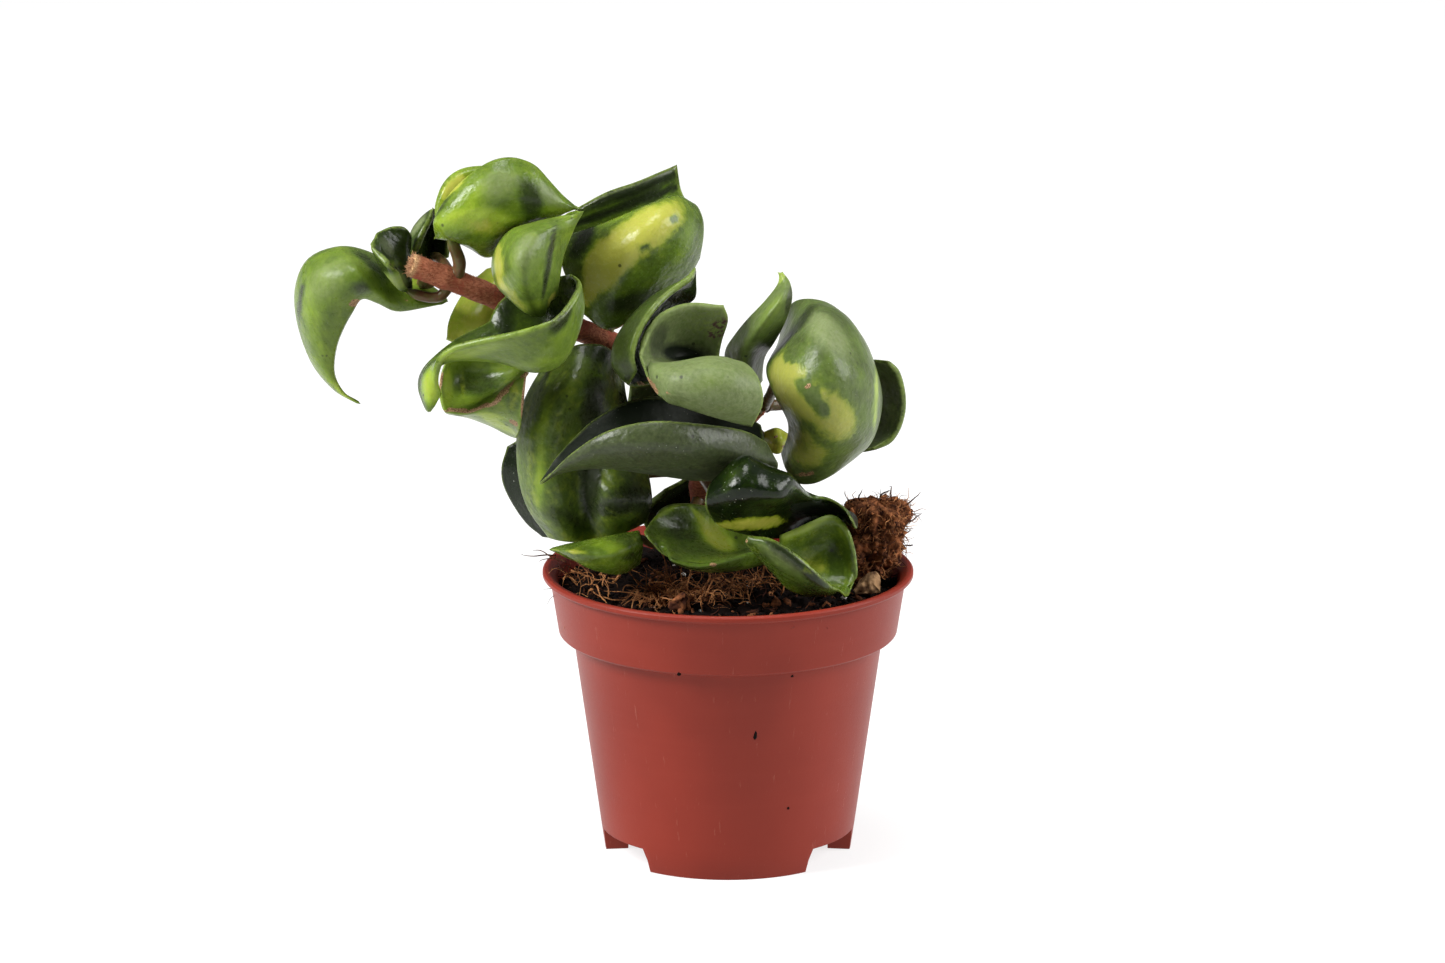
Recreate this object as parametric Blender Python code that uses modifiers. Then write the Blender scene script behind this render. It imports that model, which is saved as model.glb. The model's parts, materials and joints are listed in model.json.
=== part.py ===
"""A curly-leaved hindu rope plant in its nursery pot, one object for each piece that grew or was moulded as one.

Metres, +Z up. The pot's axis is near the origin and the pot stands on Z = 0, with the viewer at -Y.
The leaves are sketched over a photograph: a sketch point is (x, y, front), where x and y are picture
coordinates and front is how many millimetres the point stands in front of the pot's axis.
"""

import math

import bmesh
import bpy
import numpy as np
from mathutils import Matrix, Vector, noise
from mathutils.bvhtree import BVHTree

MM = 0.001

# The picture that the leaves are sketched on
PIXEL = 0.242 * MM
PICTURE_CENTRE = (722.5, 481.5)
PICTURE_AXIS_X = 728.0
VIEW_TILT = math.radians(14.8)
VIEW_DISTANCE = 2200 * MM
VIEW_AIM_HEIGHT = 91.6 * MM

# Where the pot's axis stands, so that the whole object's box is centred on the origin
POT_X = 29.25 * MM
POT_Y = 0.0 * MM

# Pot
POT_HEIGHT = 70 * MM
RIM_RADIUS = 45 * MM
LIP_HEIGHT = 1.8 * MM
BAND_TOP_RADIUS = 43.2 * MM
BAND_BOTTOM_RADIUS = 41.1 * MM
BAND_HEIGHT = 15.8 * MM
BODY_TOP_RADIUS = 37.7 * MM
BODY_BOTTOM_RADIUS = 30.9 * MM
FOOT_RADIUS = 30.0 * MM
FOOT_INNER_RADIUS = 24.6 * MM
FOOT_HEIGHT = 6 * MM
WALL = 1.2 * MM
POT_STEPS = 48
FOOT_COUNT = 3
NOTCH_ANGLE = math.radians(36)
NOTCH_SLANT = math.radians(4)
DRAIN_RADIUS = 3 * MM
DRAIN_RING = 16 * MM
DRAIN_COUNT = 6

# Soil
GAP = 0.3 * MM
SOIL_LEVEL = 67.0 * MM
SOIL_BUMP = 1.1 * MM
SOIL_RINGS = 7
SOIL_STEPS = 48
SOIL_DISH = 1.5 * MM

# Stems
STEM_RADIUS = 2.8 * MM
SIDE_STEM_RADIUS = 1.7 * MM
PETIOLE_RADIUS = 1.35 * MM
PETIOLE_CLEARANCE = 0.5 * MM
PETIOLE_STEP = 2.4 * MM
PETIOLE_END_SHARE = 0.4
MAIN_STEM_POINTS = 26
SIDE_STEM_POINTS = 8
STEM_PATH = (
    (705, 592, -17), (705, 570, -17), (705, 550, -16.5), (702, 500, -8), (698, 455, -5), (688, 405, -7),
    (660, 368, -11), (622, 348, -9), (573, 327, -2), (505, 301, 8), (455, 281, 12), (411, 265, 14),
)
SIDE_STEM_PATH = ((722, 440, -8), (744, 424, -10), (762, 406, -11))

# Leaves: the rails run from one edge to the other across the leaf, each along its length. They lie on the
# leaf's back, its bulging side. The petiole's points lead from a stem to the place on the grid that it joins,
# as shares of the leaf's length and width. A stalk is a petiole's radius where it isn't the usual one.
LEAF_THICKNESS = 1.7 * MM
LEAF_ALONG = 12
LEAF_ACROSS = 7
TIP_WIDTH = 1.4 * MM
TIP_THINNING = 0.45
# How far the outermost and the next points of an open end are drawn back, which rounds its corners
CORNER_PULL = (0.55, 0.18)
LEAF_LEAST = 0.65 * MM
RELAXING_ROUNDS = 60
EVENING = 0.6

LEAVES = {
    "leaf_far_left": {
        "petiole": ((428, 286, 9),),
        "joins": (0.2, 0.5),
        "rails": (
            ((430, 296, 0), (391, 288, -6), (352, 285, -7), (318, 305, -4), (306, 340, -2), (324, 380, 1)),
            ((431, 287, 1), (391, 270, -4), (352, 256, -6), (306, 284, -5), (299, 328, -3), (319, 376, 1)),
            ((428, 284, 4), (389, 264, 4), (348, 246, 6), (304, 263, 7), (296, 315, 5), (320, 377, 3)),
            ((427, 299, 10), (389, 293, 13), (362, 274, 19), (325, 290, 18), (313, 330, 12), (328, 381, 6)),
            ((434, 307, 10), (394, 313, 11), (366, 300, 14), (353, 317, 13), (338, 347, 10), (337, 383, 6)),
        ),
        "root": (448, 299, 6),
        "tip": (359, 405, 4),
    },
    "leaf_small_cup": {
        "petiole": ((440, 302, 12.5), (421, 297, 12.5)),
        "joins": (0.08, 0.66),
        "rails": (
            ((413, 240, 4), (402, 227, 6), (386, 229, 8), (374, 238, 11)),
            ((409, 258, 6), (400, 252, 8), (387, 250, 11), (375, 248, 14)),
            ((411, 292, 10), (401, 291, 13), (390, 280, 16), (378, 264, 17)),
            ((401, 273, 18), (395, 270, 20), (387, 266, 21), (378, 256, 19)),
        ),
        "tip": (370, 246, 16),
        "along": 9,
    },
    "leaf_dark_curl": {
        "petiole": ((446, 262, 4),),
        "joins": (0.15, 0.66),
        "rails": (
            ((415, 256, 6), (417, 246, 6), (423, 230, 5), (430, 216, 3)),
            ((405, 257, 2), (407, 243, 1), (413, 227, 0), (423, 215, 0)),
            ((430, 264, -6), (431, 245, -8), (434, 228, -8), (437, 214, -4)),
            ((449, 262, -4), (452, 246, -5), (452, 230, -5), (446, 216, -2)),
        ),
        "tip": (433, 208, 0),
        "along": 9,
    },
    "leaf_top_cap": {
        "petiole": ((462, 262, 13.5), (456, 251, 13)),
        "joins": (0.16, 0.56),
        "stalk": 1.6 * MM,
        "rails": (
            ((433, 218, 16), (456, 184, 16), (493, 158, 15), (530, 160, 13), (560, 191, 11)),
            ((440, 224, 19), (470, 202, 20.5), (504, 190, 20), (540, 192, 17), (564, 202, 14)),
            ((450, 240, 18), (480, 239, 18.5), (509, 228, 16), (545, 218, 14.5), (568, 212, 12)),
            ((462, 240, 8), (486, 256, 3), (512, 240, -1), (540, 222, 0), (563, 211, 6)),
            ((434, 208, 4), (446, 178, 1), (474, 165, -1), (522, 169, 1), (556, 196, 7)),
        ),
        "root": (436, 239, 12),
        "tip": (580, 210, 10),
        "along": 14,
    },
    "leaf_front_bulge": {
        "petiole": ((521, 286, 11),),
        "joins": (0.3, 0.1),
        "rails": (
            ((519, 303, 21.5), (500, 282, 17.4), (497, 256, 13), (514, 233, 13), (545, 222, 16)),
            ((520, 310, 25), (497, 286, 22), (493, 257, 19), (508, 231, 19), (540, 220, 19)),
            ((534, 318, 26), (520, 285, 33), (516, 258, 34), (527, 235, 30), (550, 222, 23)),
            ((546, 316, 25), (540, 283, 30), (542, 255, 31), (551, 235, 27), (565, 221, 22)),
            ((550, 305, 24), (551, 282, 26), (556, 257, 24), (562, 240, 21), (573, 224, 19)),
            ((558, 303, 22), (561, 281, 21), (565, 256, 19), (572, 238, 17), (579, 222, 18)),
        ),
        "tip": (581, 211, 18),
        "across": 8,
    },
    "leaf_top_right": {
        "petiole": ((612, 318, -9),),
        "joins": (0.3, 0.85),
        "rails": (
            ((568, 213, -12), (605, 194, -11), (635, 183, -13), (660, 172, -13), (680, 163, -11)),
            ((560, 248, -11), (610, 238, -11), (640, 226, -11), (665, 212, -11), (683, 197, -10)),
            ((558, 238, -5), (606, 222, 1), (645, 205, 2), (676, 195, -2), (698, 206, -8)),
            ((560, 270, 0), (612, 268, 10), (648, 248, 12), (681, 232, 6), (706, 229, -5)),
            ((572, 306, -2), (610, 333, 2), (663, 302, -3), (691, 277, -6), (703, 254, -8)),
        ),
    },
    "leaf_left_wave": {
        "petiole": ((566, 330, 10), (560, 350, 18)),
        "joins": (0.8, 0.5),
        "rails": (
            ((424, 392, 23), (426, 375, 21), (442, 357, 19), (464, 338, 17), (491, 323, 15), (502, 300, 13),
             (534, 287, 11), (563, 276, 14)),
            ((432, 394, 28), (433, 377, 28), (445, 364, 26), (470, 361, 25), (503, 364, 26), (535, 373, 26),
             (566, 359, 25), (584, 308, 22)),
            ((440, 393, 28), (440, 376, 31), (447, 356, 33), (470, 346, 35), (500, 339, 37), (536, 329, 38),
             (563, 316, 35), (582, 286, 26)),
        ),
        "root": (430, 412, 27),
        "tip": (573, 274, 20),
        "along": 17,
    },
    "leaf_scarred": {
        "petiole": ((552, 338, 2), (545, 355, 6)),
        "joins": (0.85, 0.2),
        "rails": (
            ((446, 357, 13), (463, 354, 10), (486, 355, 9), (508, 360, 10), (525, 366, 13)),
            ((440, 384, 15), (458, 384, 10), (484, 383, 9), (507, 381, 12), (528, 371, 17)),
            ((443, 410, 20), (463, 412, 20), (483, 405, 20), (500, 394, 21), (526, 374, 22)),
            ((446, 414, 16), (466, 417, 15), (488, 419, 16), (507, 416, 19), (521, 421, 22)),
            ((452, 415, 12), (470, 419, 11), (492, 428, 9), (508, 437, 9), (517, 440, 12)),
        ),
    },
    "leaf_pale_back": {
        "petiole": ((530, 304, -3),),
        "joins": (0.5, 0.8),
        "rails": (
            ((491, 264, -6), (467, 285, -5), (448, 318, -2), (445, 345, 0)),
            ((515, 262, -2), (497, 290, 1), (485, 320, 4), (478, 348, 4)),
            ((540, 265, -8), (535, 295, -7), (528, 325, -5), (512, 350, -3)),
        ),
        "along": 9,
    },
    "leaf_big_cap": {
        "petiole": ((600, 364, -3),),
        "joins": (0.08, 0.6),
        "rails": (
            ((545, 360, 1), (520, 405, 5), (514, 452, 7), (523, 503, 9), (553, 546, 8)),
            ((568, 346, 4), (554, 395, 14), (545, 452, 17), (552, 505, 18), (570, 544, 12)),
            ((592, 343, 4), (588, 390, 12), (580, 450, 10), (582, 500, 11), (594, 541, 10)),
            ((610, 347, 1), (610, 392, 5), (612, 450, 8), (616, 495, 18), (621, 537, 12)),
            ((624, 356, -5), (628, 398, -5), (645, 450, -1), (655, 498, 8), (647, 527, 8)),
        ),
        "along": 14,
    },
    "leaf_dark_crescent_left": {
        "petiole": ((665, 470, -8), (615, 474, -15)),
        "joins": (0.5, 0.9),
        "rails": (
            ((509, 440, -5), (500, 467, -5), (504, 491, -5), (524, 523, -4), (548, 542, -1)),
            ((538, 434, -4), (532, 465, -2), (534, 495, -1), (545, 520, 0), (560, 537, 1)),
            ((575, 440, -14), (572, 470, -15), (572, 500, -14), (576, 525, -10), (580, 538, -6)),
        ),
        "along": 10,
    },
    "leaf_long_central": {
        "petiole": ((700, 468, 8), (702, 470, 16)),
        "joins": (0.68, 0.38),
        "rails": (
            ((565, 449, 23), (600, 417, 16), (650, 397, 12), (700, 409, 7), (742, 417, 4), (766, 428, 5)),
            ((562, 473, 28), (602, 468, 27), (650, 473, 24), (700, 480, 20), (745, 478, 15), (773, 474, 12)),
            ((563, 467, 33), (603, 450, 38), (651, 450, 40), (701, 455, 36), (747, 458, 27), (779, 464, 18)),
            ((565, 458, 33), (604, 431, 37), (652, 420, 38), (702, 423, 34), (747, 430, 25), (772, 445, 18)),
        ),
        "root": (541, 485, 29),
        "along": 15,
    },
    "leaf_scroll_band": {
        "petiole": ((662, 372, -3),),
        "joins": (0.88, 0.72),
        "rails": (
            ((688, 275, 10), (669, 290, 14), (651, 308, 19), (636, 334, 23), (631, 358, 25), (639, 376, 25)),
            ((684, 281, 6), (657, 293, 9), (635, 312, 12), (616, 338, 15), (612, 366, 17), (630, 387, 18)),
            ((694, 294, 1), (680, 303, -1), (668, 322, -2), (655, 345, -2.4), (658, 370, 1.5), (664, 386, 7)),
        ),
        "root": (694, 268, 7),
        "along": 13,
    },
    "leaf_scroll_mouth": {
        "petiole": ((694, 392, -3),),
        "joins": (0.55, 0.33),
        "rails": (
            ((643, 332, 20), (659, 311, 17), (690, 300, 12), (731, 305, 8)),
            ((645, 342, 17), (669, 330, 8), (697, 326, 5), (729, 325, 5)),
            ((648, 358, 15), (672, 360, 5), (698, 359, 3), (718, 358, 5)),
            ((647, 367, 22), (676, 371, 17), (706, 369, 17), (738, 368, 17)),
            ((648, 371, 28), (680, 368, 30), (712, 363, 31), (748, 367, 28)),
            ((651, 382, 31), (684, 383, 37), (720, 388, 38), (765, 394, 33)),
            ((655, 392, 29), (682, 403, 32), (716, 415, 32), (760, 428, 27)),
        ),
        "root": (639, 357, 24),
        "across": 9,
        "along": 13,
    },
    "leaf_flame": {
        "petiole": ((748, 403, -3),),
        "joins": (0.08, 0.5),
        "rails": (
            ((729, 392, -5), (723, 354, -4), (742, 324, -1), (765, 299, 3), (777, 282, 3)),
            ((748, 394, 1), (746, 356, 5), (762, 325, 9), (780, 300, 9), (786, 283, 5)),
            ((764, 390, -9), (765, 360, -7), (781, 334, 1), (793, 303, 4), (791, 282, 3)),
        ),
        "tip": (780, 272, 3),
        "along": 10,
    },
    "leaf_right_dome": {
        "petiole": ((769, 401, -7),),
        "joins": (0.5, 0.1),
        "rails": (
            ((781, 322, -18), (777, 344, -12), (765, 369, 3), (772, 394, 8), (787, 427, 7), (777, 460, -1)),
            ((789, 304, -13), (790, 328, -3), (783, 357, 12), (796, 390, 20), (809, 430, 18), (789, 481, 3)),
            ((806, 298, -8), (818, 313, 7), (824, 343, 18), (838, 385, 22), (840, 432, 18), (814, 485, 5)),
            ((828, 302, -9), (845, 316, 1), (859, 345, 8), (872, 385, 12), (868, 432, 10), (836, 474, 3)),
            ((838, 311, -15), (858, 330, -8), (873, 357, -3), (883, 400, 0), (873, 441, 1), (850, 463, -4)),
        ),
        "along": 14,
    },
    "leaf_dark_crescent_right": {
        "petiole": ((785, 404, -15), (820, 408, -21)),
        "joins": (0.5, 0.93),
        "rails": (
            ((884, 359, -9), (898, 376, -11), (903, 408, -11), (893, 435, -11), (866, 451, -9)),
            ((866, 362, -14), (874, 385, -17), (876, 410, -17), (870, 435, -16), (856, 450, -13)),
            ((850, 368, -21), (846, 388, -26), (846, 410, -27), (844, 432, -24), (846, 446, -18)),
        ),
        "along": 10,
    },
    "leaf_small_spotted": {
        "petiole": ((755, 430, -12),),
        "joins": (0.5, 0.1),
        "rails": (
            ((762, 430, -14), (761, 441, -14), (765, 452, -14)),
            ((777, 427, -12), (779, 441, -10), (777, 455, -12)),
            ((790, 432, -15), (793, 442, -15), (787, 452, -15)),
        ),
        "along": 6,
        "across": 6,
    },
    "leaf_lower_right": {
        "petiole": ((712, 492, 8), (713, 493, 22)),
        "joins": (0.07, 0.6),
        "rails": (
            ((720, 486, 27), (740, 478, 25), (768, 480, 22), (804, 490, 20), (838, 505, 21)),
            ((710, 482, 33), (741, 453, 34), (770, 464, 34), (803, 479, 32), (839, 496, 28)),
            ((704, 502, 38), (738, 491, 43), (772, 497, 41), (806, 496, 36), (845, 508, 30)),
            ((711, 521, 33), (742, 525, 33), (777, 516, 25), (809, 508, 16), (846, 513, 15)),
            ((722, 529, 28), (748, 536, 27), (781, 540, 18), (811, 528, 14), (846, 526, 13)),
        ),
        "tip": (854, 528, 25),
        "along": 14,
    },
    "leaf_lower_loop": {
        "petiole": ((736, 531, -5), (767, 541, 3)),
        "joins": (0.1, 0.3),
        "rails": (
            ((772, 538, 25), (800, 524, 22), (832, 513, 20), (852, 533, 20), (856, 575, 20)),
            ((776, 560, 24), (802, 563, 19), (825, 558, 18), (841, 570, 19), (850, 587, 22)),
            ((774, 573, 27), (789, 590, 27), (807, 597, 27), (826, 596, 27), (838, 595, 27)),
            ((747, 548, 32), (770, 556, 36), (792, 568, 37), (812, 584, 36), (833, 593, 32)),
            ((739, 537, 33), (770, 538, 36), (796, 553, 37), (818, 572, 36), (835, 588, 31)),
        ),
        "tip": (845, 597, 26),
    },
    "leaf_lower_cup": {
        "petiole": ((690, 513, 0),),
        "joins": (0.4, 0.1),
        "rails": (
            ((651, 519, 15), (668, 506, 12), (695, 503, 8), (724, 511, 6), (752, 530, 6)),
            ((645, 531, 20), (674, 533, 14), (705, 537, 12), (729, 546, 12), (758, 549, 12)),
            ((648, 544, 26), (667, 557, 29), (695, 565, 30), (722, 561, 29), (757, 550, 25)),
            ((656, 548, 22), (680, 566, 22), (708, 573, 23), (742, 571, 23), (778, 562, 20)),
        ),
    },
    "leaf_pointed_light": {
        "petiole": ((685, 549, 4), (665, 552, 4)),
        "joins": (0.94, 0.3),
        "rails": (
            ((572, 556, 15), (597, 558, 12), (620, 556, 11), (640, 551, 9)),
            ((566, 544, 20), (590, 539, 20), (617, 534, 19), (639, 530, 15)),
            ((566, 550, 26), (591, 554, 28), (620, 552, 28), (644, 542, 20)),
            ((567, 557, 24), (592, 571, 24), (622, 576, 22), (646, 561, 15)),
        ),
        "root": (550, 548, 21),
    },
    "leaf_back_upper": {
        "petiole": ((640, 330, -13),),
        "joins": (0.08, 0.5),
        "rails": (
            ((600, 300, -15), (592, 268, -16), (598, 236, -16), (625, 214, -17)),
            ((636, 308, -18), (640, 275, -27), (645, 242, -27), (655, 216, -20)),
            ((668, 286, -14), (686, 260, -16), (692, 234, -16), (684, 214, -17)),
        ),
        "along": 10,
    },
    "leaf_back_middle": {
        "petiole": ((700, 450, -11),),
        "joins": (0.8, 0.5),
        "rails": (
            ((630, 380, -17), (626, 412, -19), (640, 446, -17)),
            ((700, 376, -21), (700, 415, -29), (702, 458, -22)),
            ((744, 384, -16), (752, 415, -19), (745, 445, -16)),
        ),
        "along": 9,
    },
    "leaf_back_lower": {
        "petiole": ((704, 494, -15),),
        "joins": (0.12, 0.5),
        "rails": (
            ((668, 485, -12), (640, 510, -16), (648, 538, -18)),
            ((703, 472, -17), (701, 508, -28), (704, 545, -30)),
            ((752, 490, -13), (768, 518, -18), (756, 540, -20)),
        ),
        "along": 9,
    },
}

# Coir plug and bark chips, placed from the pot's axis
PLUG_RADIUS = 9.2 * MM
PLUG_BOTTOM = (32 * MM, 4 * MM, 64.6 * MM)
PLUG_TOP = (36.6 * MM, 4 * MM, 85.6 * MM)
PLUG_FOOT_SHARE = 0.74
PLUG_CROWN_SHARE = 0.7
PLUG_RINGS = 11
PLUG_STEPS = 18
PLUG_ROUGHNESS = 1.1 * MM
CHIPS = {
    "bark_chip_right": {"x": 33.6 * MM, "y": -9.5 * MM, "size": (6.4 * MM, 5 * MM, 3.6 * MM), "turn": 0.3, "seed": 4},
    "bark_chip_front": {"x": -11.8 * MM, "y": -25.5 * MM, "size": (6 * MM, 4.4 * MM, 3 * MM), "turn": -0.5, "seed": 9},
}
CHIP_LEVELS = 3
CHIP_STEPS = 10


def clear_scene():
    for item in list(bpy.data.objects):
        bpy.data.objects.remove(item, do_unlink=True)


def new_collection(name):
    collection = bpy.data.collections.new(name)
    bpy.context.scene.collection.children.link(collection)
    return collection


def make_material(name, colour, roughness):
    material = bpy.data.materials.new(name)
    material.use_nodes = True
    shader = material.node_tree.nodes["Principled BSDF"]
    shader.inputs["Base Color"].default_value = (*colour, 1.0)
    shader.inputs["Roughness"].default_value = roughness
    shader.inputs["Metallic"].default_value = 0.0
    return material


def add_object(name, mesh, collection, material=None):
    item = bpy.data.objects.new(name, mesh)
    collection.objects.link(item)
    if material:
        mesh.materials.append(material)
    return item


def as_cutter(item):
    item.hide_render = True
    item.display_type = "WIRE"
    return item


def add_boolean(item, other, operation):
    modifier = item.modifiers.new(operation.title() + " " + other.name, "BOOLEAN")
    modifier.operation = operation
    modifier.object = other
    return modifier


def mesh_from_bmesh(name, bm):
    bmesh.ops.recalc_face_normals(bm, faces=bm.faces)
    mesh = bpy.data.meshes.new(name)
    bm.to_mesh(mesh)
    bm.free()
    return mesh


def shade_round(mesh, angle=40):
    mesh.shade_smooth()
    mesh.set_sharp_from_angle(angle=math.radians(angle))


def sight_point(x, y, front):
    """The point seen at picture coordinates (x, y) that stands front millimetres before the pot's axis."""
    back = Vector((0, -math.cos(VIEW_TILT), math.sin(VIEW_TILT)))
    up = Vector((0, math.sin(VIEW_TILT), math.cos(VIEW_TILT)))
    shift = (PICTURE_CENTRE[0] - PICTURE_AXIS_X) * PIXEL
    aim = Vector((shift, 0, VIEW_AIM_HEIGHT))
    eye = aim + back * VIEW_DISTANCE
    across = (x - PICTURE_CENTRE[0]) * PIXEL
    rise = (PICTURE_CENTRE[1] - y) * PIXEL
    on_picture = aim + Vector((across, 0, 0)) + up * rise
    ray = on_picture - eye
    reach = (-front * MM - eye.y) / ray.y
    return eye + ray * reach + Vector((POT_X, POT_Y, 0))


def spline(points, count):
    """count points evenly along a smooth curve through the given points (Catmull-Rom)."""
    points = np.asarray(points, float)
    ends = np.vstack([2 * points[0] - points[1], points, 2 * points[-1] - points[-2]])
    found = []
    for place in np.linspace(0, len(points) - 1, count):
        k = min(int(place), len(points) - 2)
        t = place - k
        a, b, c, d = ends[k : k + 4]
        found.append(
            0.5 * (2 * b + (c - a) * t + (2 * a - 5 * b + 4 * c - d) * t**2 + (3 * b - a - 3 * c + d) * t**3)
        )
    return np.array(found)


def bend(points, count):
    """count points along the Bezier curve that has the given points as its controls."""
    found = []
    for share in np.linspace(0, 1, count):
        level = points
        while len(level) > 1:
            level = level[:-1] * (1 - share) + level[1:] * share
        found.append(level[0])
    return np.array(found)


def blunt_end(tip, neighbours):
    """A station at the leaf's tip: its points stand side by side over TIP_WIDTH."""
    tip = np.array(sight_point(*tip))
    across = neighbours[-1] - neighbours[0]
    across = across / np.linalg.norm(across)
    places = np.linspace(-0.5, 0.5, len(neighbours)) * TIP_WIDTH
    return tip + places[:, None] * across


def leaf_grid(sketch):
    """Points [station, place across] of the leaf's back, lofted through its rails."""
    stations = np.array([[sight_point(*point) for point in rail] for rail in sketch["rails"]]).transpose(1, 0, 2)
    stations = list(stations)
    if "root" in sketch:
        stations.insert(0, blunt_end(sketch["root"], stations[0]))
    if "tip" in sketch:
        stations.append(blunt_end(sketch["tip"], stations[-1]))
    across = sketch.get("across", LEAF_ACROSS)
    along = sketch.get("along", LEAF_ALONG)
    widened = np.array([spline(station, across) for station in stations])
    grid = np.array([spline(widened[:, k], along) for k in range(across)]).transpose(1, 0, 2)
    open_ends = [ends for key, ends in (("root", (0, 1)), ("tip", (-1, -2))) if key not in sketch]
    for last, before in open_ends:
        for place, pull in enumerate(CORNER_PULL):
            for column in (place, -1 - place):
                grid[last, column] += (grid[before, column] - grid[last, column]) * pull
    return grid


def outward_normals(grid):
    """Unit normals of the grid, and whether they already point to its bulging side."""
    normals = np.cross(np.gradient(grid, axis=1), np.gradient(grid, axis=0))
    normals /= np.linalg.norm(normals, axis=2, keepdims=True)
    chord = (grid[:, :1] + grid[:, -1:]) / 2
    bulging = float(((grid - chord) * normals).sum()) > 0
    return (normals if bulging else -normals), bulging


def nearest_on_stems(point):
    """The nearest centre point of a stem, and that stem's radius."""
    best = None
    for path, radius in ((STEM_PATH, STEM_RADIUS), (SIDE_STEM_PATH, SIDE_STEM_RADIUS)):
        for centre in spline([sight_point(*place) for place in path], 160):
            distance = float(np.linalg.norm(centre - point)) - radius
            if best is None or distance < best[0]:
                best = (distance, centre, radius)
    return best[1], best[2]


def side_stem_points():
    """The side stem starts just clear of the main stem."""
    points = [np.array(sight_point(*point)) for point in SIDE_STEM_PATH]
    centres = spline([sight_point(*point) for point in STEM_PATH], 160)
    nearest = centres[np.argmin(np.linalg.norm(centres - points[0], axis=1))]
    way = points[0] - nearest
    start = nearest + way / np.linalg.norm(way) * (STEM_RADIUS + PETIOLE_CLEARANCE)
    return spline([start, *points], SIDE_STEM_POINTS)


def petiole_points(sketch, grid, thickness):
    """From just clear of the stem, through the sketched points, into the middle of the blade."""
    middle = [np.array(sight_point(*point)) for point in sketch["petiole"]]
    centre, radius = nearest_on_stems(middle[0])
    way = middle[0] - centre
    start = centre + way / np.linalg.norm(way) * (radius + PETIOLE_CLEARANCE)
    along, across = sketch["joins"]
    row = round(along * (len(grid) - 1))
    column = round(across * (len(grid[0]) - 1))
    normals, _ = outward_normals(grid)
    end = grid[row, column] - normals[row, column] * thickness[row * len(grid[0]) + column] / 2
    points = np.array([start, *middle, end])
    length = np.linalg.norm(np.diff(points, axis=0), axis=1).sum()
    return bend(points, max(3, round(length / PETIOLE_STEP) + 1))


def tube_mesh(name, points, radius, roundness=1, end_share=1.0):
    """A round tube through the points, as a closed mesh. end_share is the last point's share of the radius."""
    curve = bpy.data.curves.new(name, "CURVE")
    curve.dimensions = "3D"
    curve.bevel_depth = radius
    curve.bevel_resolution = roundness
    curve.use_fill_caps = True
    line = curve.splines.new("POLY")
    line.points.add(len(points) - 1)
    for point, place in zip(line.points, points):
        point.co = (*place, 1.0)
    line.points[-1].radius = end_share
    item = bpy.data.objects.new(name, curve)
    bpy.context.scene.collection.objects.link(item)
    graph = bpy.context.evaluated_depsgraph_get()
    mesh = bpy.data.meshes.new_from_object(item.evaluated_get(graph))
    bpy.data.objects.remove(item)
    bm = bmesh.new()
    bm.from_mesh(mesh)
    bmesh.ops.remove_doubles(bm, verts=bm.verts, dist=0.00001)
    bpy.data.meshes.remove(mesh)
    return mesh_from_bmesh(name, bm)


def blade_sheet(grid):
    """The leaf's back as triangles, facing its bulging side."""
    along, across = grid.shape[:2]
    bm = bmesh.new()
    bmesh.ops.create_grid(bm, x_segments=across - 1, y_segments=along - 1, size=1)
    bm.verts.ensure_lookup_table()
    for vert, place in zip(bm.verts, grid.reshape(-1, 3)):
        vert.co = place
    if not outward_normals(grid)[1]:
        bmesh.ops.reverse_faces(bm, faces=bm.faces)
    bmesh.ops.triangulate(bm, faces=bm.faces, quad_method="FIXED")
    bm.normal_update()
    bm.verts.index_update()
    return bm


def crossing_points(backs, fronts, faces, edges):
    """Indices of the grid points where the blade's two faces and its edge would run through each other."""
    count = len(backs)
    tris = [tuple(face) for face in faces]
    tris += [tuple(index + count for index in reversed(face)) for face in faces]
    for first, second in edges:
        tris += [(second, first, first + count), (second, first + count, second + count)]
    points = np.vstack([backs, fronts])
    tree = BVHTree.FromPolygons([tuple(point) for point in points], tris)
    found = set()
    for one, other in tree.overlap(tree):
        if one < other and not set(tris[one]) & set(tris[other]):
            found |= {index % count for index in tris[one] + tris[other]}
    for face in faces:
        back = np.cross(backs[face[1]] - backs[face[0]], backs[face[2]] - backs[face[0]])
        front = np.cross(fronts[face[1]] - fronts[face[0]], fronts[face[2]] - fronts[face[0]])
        if back @ front <= 0.1 * np.linalg.norm(back) * np.linalg.norm(front):
            found |= set(face)
    return sorted(found)


def evened(grid, places):
    """The grid with the given points drawn a little towards the points beside them in the same row."""
    across = grid.shape[1]
    result = grid.copy()
    for place in places:
        row, column = divmod(place, across)
        if 0 < column < across - 1:
            beside = (grid[row, column - 1] + grid[row, column + 1]) / 2
            result[row, column] += EVENING * (beside - grid[row, column])
    return result


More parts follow.
